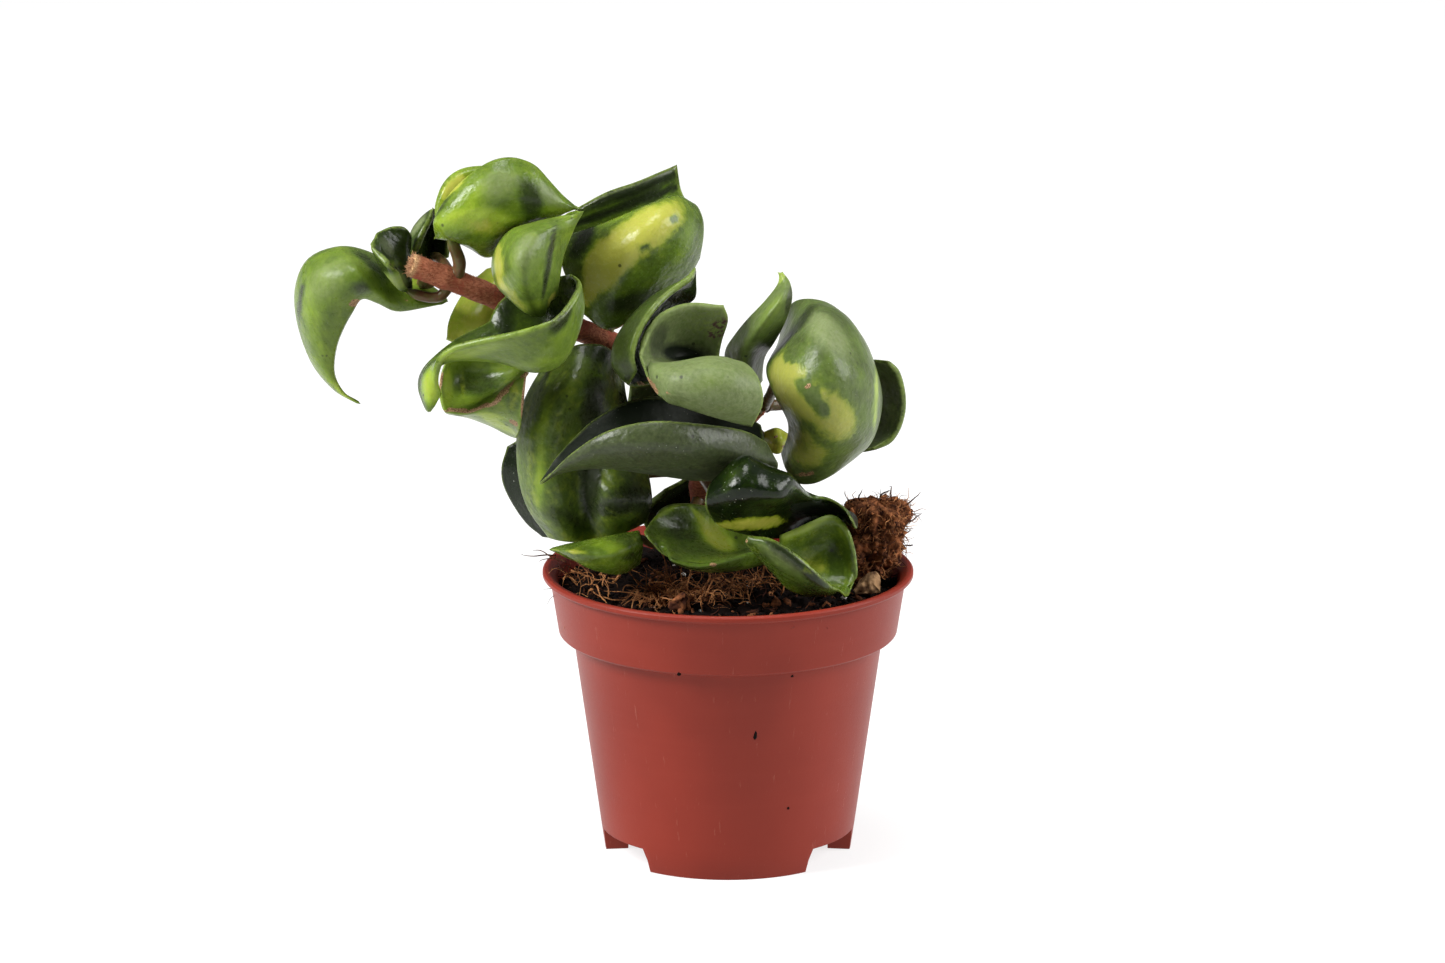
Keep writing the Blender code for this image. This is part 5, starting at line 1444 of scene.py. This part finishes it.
def pot_material():
    """Smooth plastic with faint hoops, pale upright scratches and a few specks of dirt."""
    tree = Tree("pot_plastic_fine", 0.4, IOR=1.46, Specular_IOR_Level=0.22)
    broad = tree.noise(tree.coords, 0.035, 2.0)
    fine = tree.noise(tree.coords, 2.2, 4.0, 0.6)
    hoops = tree.noise(tree.scaled(tree.coords, (0.02, 0.02, 1.0)), 0.45, 3.0)
    scratches = tree.noise(tree.scaled(tree.coords, (1.0, 1.0, 0.055)), 0.8, 5.0, 0.7)
    scratches = tree.step(scratches, 0.63, 0.73)
    colour = tree.mix(tree.step(broad, 0.3, 0.7), (0.176, 0.017, 0.008), (0.203, 0.021, 0.010))
    colour = tree.mix(tree.times(tree.step(hoops, 0.45, 0.7), 0.06), colour, (0.25, 0.033, 0.018))
    colour = tree.mix(tree.times(scratches, 0.28), colour, (0.38, 0.13, 0.09))
    colour = tree.mix(tree.dots(tree.coords, 0.10, 0.035), colour, (0.03, 0.014, 0.008))
    normal = tree.bump(fine, 0.00002)
    normal = tree.bump(scratches, 0.00003, before=normal)
    return tree.finish(colour, tree.plus(0.34, fine, 0.16), normal)


# Pot
def build_pot_piece(material):
    """The pot with its cuts and edges baked in; the cutters are scrapped."""
    scrap = bpy.data.collections.new("pot_scrap")
    bpy.context.scene.collection.children.link(scrap)
    pot = cut_pot(scrap)
    bpy.context.view_layer.update()
    graph = bpy.context.evaluated_depsgraph_get()
    mesh = bpy.data.meshes.new_from_object(pot.evaluated_get(graph))
    mesh.name = "fine_pot"
    mesh.transform(pot.matrix_world)
    for item in list(scrap.objects):
        bpy.data.objects.remove(item)
    bpy.data.collections.remove(scrap)
    mesh.shade_smooth()
    mesh.set_sharp_from_angle(angle=POT_SHARP_ANGLE)
    return link("fine_pot", mesh, material, "pot_plastic", "pot")


# Specks of soil that stick to the pot: picture x, y, size in mm, how long
POT_SPECKS = (
    (679, 674, 1.0, 1), (792, 676, 0.9, 1), (755, 734, 1.0, 3.2), (788, 808, 0.9, 1), (700, 640, 0.35, 1),
)
SPECK_SEARCH_STEPS = 400


def pot_place(x, y):
    """Where the sight line at (x, y) meets the pot's wall."""
    near, way = sight_line(x, y, 0)
    for share in np.linspace(0, 1, SPECK_SEARCH_STEPS):
        place = near + way * share
        if math.hypot(place[0] - POT_X, place[1]) <= outer_radius(place[2]):
            break
    return place


def build_pot_specks(material):
    random = np.random.default_rng(21)
    specks = Heap()
    for x, y, size, long in POT_SPECKS:
        sphere = lumpy_sphere(random, 0.25, 1) * (size * MM, 0.45 * size * MM, size * long * MM)
        specks.add(sphere + pot_place(x, y), ICO_FACES, 0.2)
    specks.link("pot_specks", material, "soil")


# Soil
SOIL_RINGS = 96
SOIL_STEPS = 220
SOIL_GAP = 0.15 * MM
SOIL_SIDE = 6 * MM
SOIL_LUMP_SIZE = 3.2 * MM
SOIL_LUMP_HEIGHT = 1.5 * MM
SOIL_GRIT_SIZE = 0.8 * MM
SOIL_GRIT_HEIGHT = 0.22 * MM
# About what turbulence of four octaves gives on the average
MEAN_TURBULENCE = 0.45


def soil_top(x, y):
    """The fine soil's height: the CAD's own surface, with crumbs."""
    lumps = noise.turbulence(Vector((x, y, 3)) / SOIL_LUMP_SIZE, 4, False) - MEAN_TURBULENCE
    grit = noise.noise(Vector((x, y, 9)) / SOIL_GRIT_SIZE)
    return soil_height(x, y) + lumps * SOIL_LUMP_HEIGHT + grit * SOIL_GRIT_HEIGHT


def ring_places(radius, steps):
    """Places round the pot's axis, evenly by angle."""
    angles = [2 * math.pi * k / steps for k in range(steps)]
    return [(radius * math.cos(angle), radius * math.sin(angle)) for angle in angles]


def build_soil_piece(material):
    """The soil's crumbly top, and below it the side and bottom that the pot hides."""
    outer = inner_radius(SOIL_LEVEL - 2 * MM) - SOIL_GAP
    points = [(0, 0, soil_top(0, 0))]
    for ring in range(1, SOIL_RINGS + 1):
        points += [(x, y, soil_top(x, y)) for x, y in ring_places(outer * ring / SOIL_RINGS, SOIL_STEPS)]
    points += [(x, y, SOIL_LEVEL - SOIL_SIDE) for x, y in ring_places(outer, SOIL_STEPS)]
    faces = [(0, 1 + k, 1 + (k + 1) % SOIL_STEPS) for k in range(SOIL_STEPS)]
    faces += [(a, d, c, b) for a, b, c, d in ring_faces(SOIL_RINGS + 1, SOIL_STEPS, 1)]
    faces.append(tuple(range(len(points) - SOIL_STEPS, len(points)))[::-1])
    points = np.array(points) + AXIS
    tones = [0.18 + 0.25 * noise.noise(Vector(point) / (2.2 * MM)) for point in points]
    return link("fine_soil", mesh_of("fine_soil", points, faces, {"tone": tones}), material, "soil", "soil")


# Crumbs and fibres that lie on the soil
CRUMB_COUNT = 900
EVEN_FIBRE_COUNT = 150
FLAKE_COUNT = 140
PERLITE_COUNT = 16
# How far they stay away from the pot's wall
WALL_MARGIN = 2.5 * MM
# How far flakes and fibres stand above the soil
LITTER_LIFT = 0.3 * MM
# Where the straw-coloured fibres lie thick: picture x, y, spread in mm across and back, and how many
FIBRE_PATCHES = (
    (672, 596, 4, 2.5, 140), (700, 600, 4, 2, 110), (740, 588, 4, 2.5, 90), (655, 600, 3, 2, 60),
    (575, 578, 4, 3, 50), (560, 562, 3, 3, 40), (600, 594, 5, 2, 16),
)
# White grains and a pebble: picture x, y, size in mm
PERLITE = ((654, 605, 1.6), (662, 592, 1.2), (672, 601, 1.1), (700, 607, 0.9), (628, 600, 0.9))
PEBBLE = (668, 572, 2.6)
# Loose root hairs: picture x, y, mm before the axis, direction, length in mm
LOOSE_ROOTS = (
    (556, 556, 6, (-1, 0.1, 0.35), 9), (560, 560, 8, (-1, -0.2, 0.15), 8),
    (566, 562, 10, (-0.8, 0.3, 0.5), 7),
    (892, 500, -3, (-0.25, 0.2, 1), 6.5), (903, 508, -4, (0.8, 0.1, 0.9), 6), (908, 522, -5, (1, 0, 0.6), 4),
    (905, 545, -4, (1, -0.2, -0.3), 4), (880, 497, -5, (0.5, 0.1, 1), 4),
    (860, 500, -3, (-0.8, -0.2, 0.7), 3.5),
)


def on_soil(x, y, lift=0.0):
    """A place on the soil or a little above it, measured from the pot's axis."""
    return np.array((POT_X + x, y, soil_top(x, y) + lift))


def soil_spot(x, y):
    """Where the sight line at (x, y) meets the soil, measured from the pot's axis."""
    near, way = sight_line(x, y)
    place = near + way * (SOIL_LEVEL - near[2]) / way[2]
    return place[0] - POT_X, place[1]


def random_spot(random, reach):
    """Anywhere within reach of the pot's axis."""
    angle, radius = random.uniform(0, 2 * math.pi), reach * math.sqrt(random.uniform(0, 1))
    return radius * math.cos(angle), radius * math.sin(angle)


def scatter(heap, random, reach, count, lift, sizes, flat, tones):
    """Lumps all over the soil, with sizes in mm."""
    for _ in range(count):
        place = on_soil(*random_spot(random, reach), lift)
        crumb(heap, random, place, random.uniform(*sizes) * MM, flat, random.uniform(*tones))


def lay_even_fibres(strands, random, reach):
    for _ in range(EVEN_FIBRE_COUNT):
        place = on_soil(*random_spot(random, reach), LITTER_LIFT)
        way = (*random.standard_normal(2), random.uniform(-0.1, 0.35))
        fibre(strands, random, place, way, random.uniform(3, 9) * MM, random.uniform(0.12, 0.34) * MM,
              0.5, random.uniform(-0.2, 0.2), droop=0.8)


def lay_fibre_patches(strands, random, reach):
    for x, y, spread_x, spread_y, count in FIBRE_PATCHES:
        middle = soil_spot(x, y)
        for _ in range(count):
            px = middle[0] + random.normal(0, spread_x) * MM
            py = middle[1] + random.normal(0, spread_y) * MM
            if math.hypot(px, py) > reach:
                continue
            way = (*random.standard_normal(2), random.uniform(0, 0.7))
            place = on_soil(px, py, random.uniform(0, 3.0) * MM)
            thickness = random.uniform(0.14, 0.36) * MM * (1 + 0.8 * (random.uniform() < 0.12))
            fibre(strands, random, place, way, random.uniform(4, 13) * MM, thickness,
                  1.0, random.uniform(0.1, 1.0), droop=0.9)


def build_soil_bits(fibre_skin, soil_skin, perlite_skin, coir_skin):
    """What lies on the soil: fibres and loose roots, crumbs and the pebble, coir flakes, and perlite."""
    random = np.random.default_rng(4)
    reach = inner_radius(SOIL_LEVEL) - WALL_MARGIN
    strands, lumps, flakes, perlite = Heap(), Heap(), Heap(), Heap()
    scatter(lumps, random, reach, CRUMB_COUNT, 0, (0.6, 2.4), 0.7, (0, 0.45))
    lay_even_fibres(strands, random, reach)
    lay_fibre_patches(strands, random, reach)
    scatter(flakes, random, reach, FLAKE_COUNT, LITTER_LIFT, (1.0, 3.2), 0.35, (0, 0.45))
    for x, y, size in PERLITE:
        crumb(perlite, random, on_soil(*soil_spot(x, y), 0.5 * MM), size * MM, 0.85, 0.8)
    scatter(perlite, random, reach, PERLITE_COUNT, LITTER_LIFT, (0.7, 1.5), 0.9, (0.5, 1))
    x, y, size = PEBBLE
    crumb(lumps, random, on_soil(*soil_spot(x, y), MM), size * MM, 0.8, 0.9)
    for x, y, front, way, length in LOOSE_ROOTS:
        place = sight_point(x, y, front)
        fibre(strands, random, place, way, length * MM, 0.42 * MM, 0.5, 0.1, sides=6, steps=20)
    strands.link("soil_fibres", fibre_skin, "coir")
    lumps.link("soil_crumbs", soil_skin, "soil")
    flakes.link("soil_flakes", coir_skin, "coir")
    perlite.link("soil_perlite", perlite_skin, "soil")


# Coir plug and bark chips
PLUG_RINGS = 90
PLUG_STEPS = 150
PLUG_FIBRE_COUNT = 900
PLUG_CRUMB_COUNT = 420
# The smooth plug's radius under the rough surface, as a share
PLUG_CORE_SHARE = 0.94
PLUG_LUMP_SIZE = 3.0 * MM
PLUG_LUMP_HEIGHT = 2.6 * MM
PLUG_GRIT_SIZE = 0.9 * MM
PLUG_GRIT_HEIGHT = 0.35 * MM
PLUG_LIFT_SIZE = 2.6 * MM
PLUG_LIFT_HEIGHT = 1.4 * MM


def plug_width(rise):
    """How wide the plug is at a share of its height, as a share of its full width."""
    over = max(0.0, (rise - 0.88) / 0.12)
    barrel = PLUG_FOOT_SHARE + (1 - PLUG_FOOT_SHARE) * math.sin(math.pi / 2 * min(1.0, rise * 1.6))
    return barrel * math.sqrt(max(0.0, 1 - over**2.4))


def plug_points():
    """Rings of points round the plug from its bottom up, each pushed in or out by noise."""
    points = []
    for rise in np.linspace(0, 1, PLUG_RINGS):
        width = plug_width(rise)
        centre = PLUG_BOTTOM + (PLUG_TOP - PLUG_BOTTOM) * min(1.0, rise * 1.03)
        for way in ring_places(1, PLUG_STEPS):
            way = np.array((*way, 0))
            spot = Vector(centre + way * PLUG_RADIUS)
            rough = (noise.turbulence(spot / PLUG_LUMP_SIZE, 4, False) - MEAN_TURBULENCE) * PLUG_LUMP_HEIGHT
            rough += noise.noise(spot / PLUG_GRIT_SIZE) * PLUG_GRIT_HEIGHT
            reach = PLUG_RADIUS * PLUG_CORE_SHARE * width + rough * min(1, width * 2)
            lift = noise.noise(spot / PLUG_LIFT_SIZE + Vector((7, 0, 0))) * PLUG_LIFT_HEIGHT * rise
            points.append(centre + way * reach + (0, 0, lift))
    return np.array(points) + AXIS


def build_plug_piece(material, strand_material):
    """The shaggy plug of coir that the plant was rooted in."""
    random = np.random.default_rng(7)
    points = plug_points()
    tones = [0.35 + 0.5 * noise.noise(Vector(point) / (1.6 * MM)) for point in points]
    mesh = mesh_of("fine_coir_plug", points, barrel_faces(PLUG_RINGS, PLUG_STEPS), {"tone": tones})
    link("fine_coir_plug", mesh, material, "coir", "coir_plug")
    strands, lumps = Heap(), Heap()
    centre = (PLUG_BOTTOM + PLUG_TOP) / 2 + AXIS
    for _ in range(PLUG_FIBRE_COUNT):
        place = points[random.integers(PLUG_STEPS * 8, len(points))]
        out = unit(place - (centre[0], centre[1], place[2] - 2 * MM))
        way = np.cross(out, random.standard_normal(3)) + out * random.uniform(-0.1, 0.55)
        fibre(strands, random, place + out * 0.15 * MM, way, random.uniform(1.5, 5) * MM,
              random.uniform(0.10, 0.26) * MM, 0.75, random.uniform(0, 0.9), steps=10)
    for _ in range(PLUG_CRUMB_COUNT):
        place = points[random.integers(PLUG_STEPS * 6, len(points))]
        crumb(lumps, random, place, random.uniform(0.4, 1.3) * MM, 0.8, random.uniform(0, 1))
    strands.link("plug_fibres", strand_material, "coir")
    lumps.link("plug_crumbs", material, "coir")


CHIP_CUTS = 5
CHIP_LUMP_SIZE = 1.3 * MM
CHIP_LUMP_HEIGHT = 0.45 * MM


def build_chip_piece(name, chip, material):
    """The CAD's bark flake, cut finer and roughened."""
    bm = bmesh.new()
    bm.from_mesh(frame["nodes"][name].data)
    bmesh.ops.remove_doubles(bm, verts=bm.verts, dist=MERGE_DISTANCE)
    bmesh.ops.subdivide_edges(bm, edges=bm.edges, cuts=CHIP_CUTS, use_grid_fill=True, smooth=0.4)
    for vert in bm.verts:
        rough = noise.turbulence(vert.co / CHIP_LUMP_SIZE, 3, False) - 0.4
        vert.co += vert.normal * rough * CHIP_LUMP_HEIGHT
    bmesh.ops.recalc_face_normals(bm, faces=bm.faces)
    mesh = mesh_from_bmesh("fine_" + name, bm)
    seed = Vector((chip["seed"], 0, 0))
    tones = [chip["tone"] + 0.6 * noise.noise(vert.co / (1.5 * MM) + seed) for vert in mesh.vertices]
    add_layer(mesh, "tone", np.array(tones))
    mesh.shade_smooth()
    return link("fine_" + name, mesh, material, "bark", name)


# Stage
FLOOR_SIZE = 4.0
FLOOR_GLOW = 0.76
# How bright the tent is, from the viewer's side (0) over the sides (0.5) to behind the object (1)
TENT = ((0.0, 0.04), (0.30, 0.09), (0.55, 0.34), (0.80, 0.30), (1.0, 0.14))
LIGHT_AIM = Vector((POT_X, 0, 0.09))
# Name, place and size in metres, and watts
SOFTBOXES = (
    ("softbox_left", (-0.95, -0.42, 0.85), (0.5, 0.5), 29),
    ("softbox_right", (1.2, -0.1, 0.65), (0.8, 0.8), 21),
    ("softbox_top", (0.05, -0.12, 1.4), (0.5, 0.42), 10),
)
SENSOR_WIDTH = 36


def build_floor():
    mesh = bpy.data.meshes.new("floor")
    corners = [(x * FLOOR_SIZE, y * FLOOR_SIZE, 0) for x, y in ((-1, -1), (1, -1), (1, 1), (-1, 1))]
    mesh.from_pydata(corners, [], [(0, 1, 2, 3)])
    floor = add_to_scene("floor", mesh)
    tree = Tree(
        "floor_white", 0.7, IOR=1.3, Base_Color=(0.26, 0.26, 0.26, 1),
        Emission_Color=(1, 1, 1, 1), Emission_Strength=FLOOR_GLOW,
    )
    mesh.materials.append(tree.material)


def build_world():
    """A white tent, dimmer on the viewer's side."""
    world = bpy.data.worlds.new("tent")
    bpy.context.scene.world = world
    world.use_nodes = True
    nodes, links = world.node_tree.nodes, world.node_tree.links
    coords = nodes.new("ShaderNodeTexCoord")
    split = nodes.new("ShaderNodeSeparateXYZ")
    half = nodes.new("ShaderNodeMath")
    fade = nodes.new("ShaderNodeValToRGB")
    half.operation = "MULTIPLY_ADD"
    half.inputs[1].default_value = 0.5
    half.inputs[2].default_value = 0.5
    fade.color_ramp.interpolation = "EASE"
    set_stops(fade.color_ramp, [(place, (bright, bright, bright)) for place, bright in TENT])
    links.new(coords.outputs["Generated"], split.inputs[0])
    links.new(split.outputs["Y"], half.inputs[0])
    links.new(half.outputs[0], fade.inputs["Fac"])
    links.new(fade.outputs["Color"], nodes["Background"].inputs["Color"])
    nodes["Background"].inputs["Strength"].default_value = 1.0


def add_softbox(name, place, size, power):
    light = bpy.data.lights.new(name, "AREA")
    light.shape = "RECTANGLE"
    light.size, light.size_y = size
    light.energy = power
    item = add_to_scene(name, light)
    item.location = place
    item.rotation_euler = (LIGHT_AIM - Vector(place)).to_track_quat("-Z", "Y").to_euler()


def build_camera():
    camera = bpy.data.cameras.new("camera")
    camera.sensor_width = SENSOR_WIDTH
    camera.lens = SENSOR_WIDTH * VIEW_DISTANCE / (PICTURE_WIDTH * PIXEL)
    item = add_to_scene("camera", camera)
    item.location = Vector((POT_X + VIEW_SHIFT, 0, VIEW_AIM_HEIGHT)) + VIEW_BACK * VIEW_DISTANCE
    item.rotation_euler = (-VIEW_BACK).to_track_quat("-Z", "Y").to_euler()
    bpy.context.scene.camera = item


def build_object():
    """All pieces of the plant and its pot, each with its material."""
    leaf = leaf_material()
    stem = stem_material()
    soil = toned_material("soil_fine", 0.95, (0.002, 0.0008, 0.0005), (0.022, 0.008, 0.0045), 1.6)
    fibres = toned_material("coir_strands", 0.75, (0.040, 0.011, 0.005), (0.50, 0.22, 0.085), 0.5)
    coir = toned_material("coir_fine", 0.9, (0.028, 0.008, 0.004), (0.40, 0.145, 0.055), 1.4)
    bark = toned_material("bark_fine", 0.85, (0.05, 0.022, 0.010), (0.40, 0.24, 0.12), 0.9)
    perlite = toned_material("perlite", 0.8, (0.32, 0.30, 0.27), (0.62, 0.60, 0.56), 1.5)
    hair = toned_material("stem_hairs", 0.8, (0.14, 0.05, 0.03), (0.50, 0.28, 0.15), 0.6)
    for name, sketch in LEAVES.items():
        build_leaf_piece(name, sketch, leaf)
    main_points = spline(sight_points(STEM_PATH), MAIN_STEM_POINTS)
    build_stem_piece("main_stem", main_points, STEM_RADIUS, stem, True)
    build_stem_piece("side_stem", side_stem_points(), SIDE_STEM_RADIUS, stem, False)
    build_stem_fuzz(main_points, STEM_RADIUS, hair)
    build_soil_piece(soil)
    build_soil_bits(fibres, soil, perlite, coir)
    build_plug_piece(coir, fibres)
    build_chip_piece("bark_chip_right", CHIPS["bark_chip_right"], bark)
    build_chip_piece("bark_chip_front", CHIPS["bark_chip_front"], coir)
    build_pot_piece(pot_material())
    build_pot_specks(soil)


def build_stage():
    build_floor()
    build_world()
    for softbox in SOFTBOXES:
        add_softbox(*softbox)
    build_camera()
    bpy.context.scene.view_settings.view_transform = "Standard"


build_object()
build_stage()
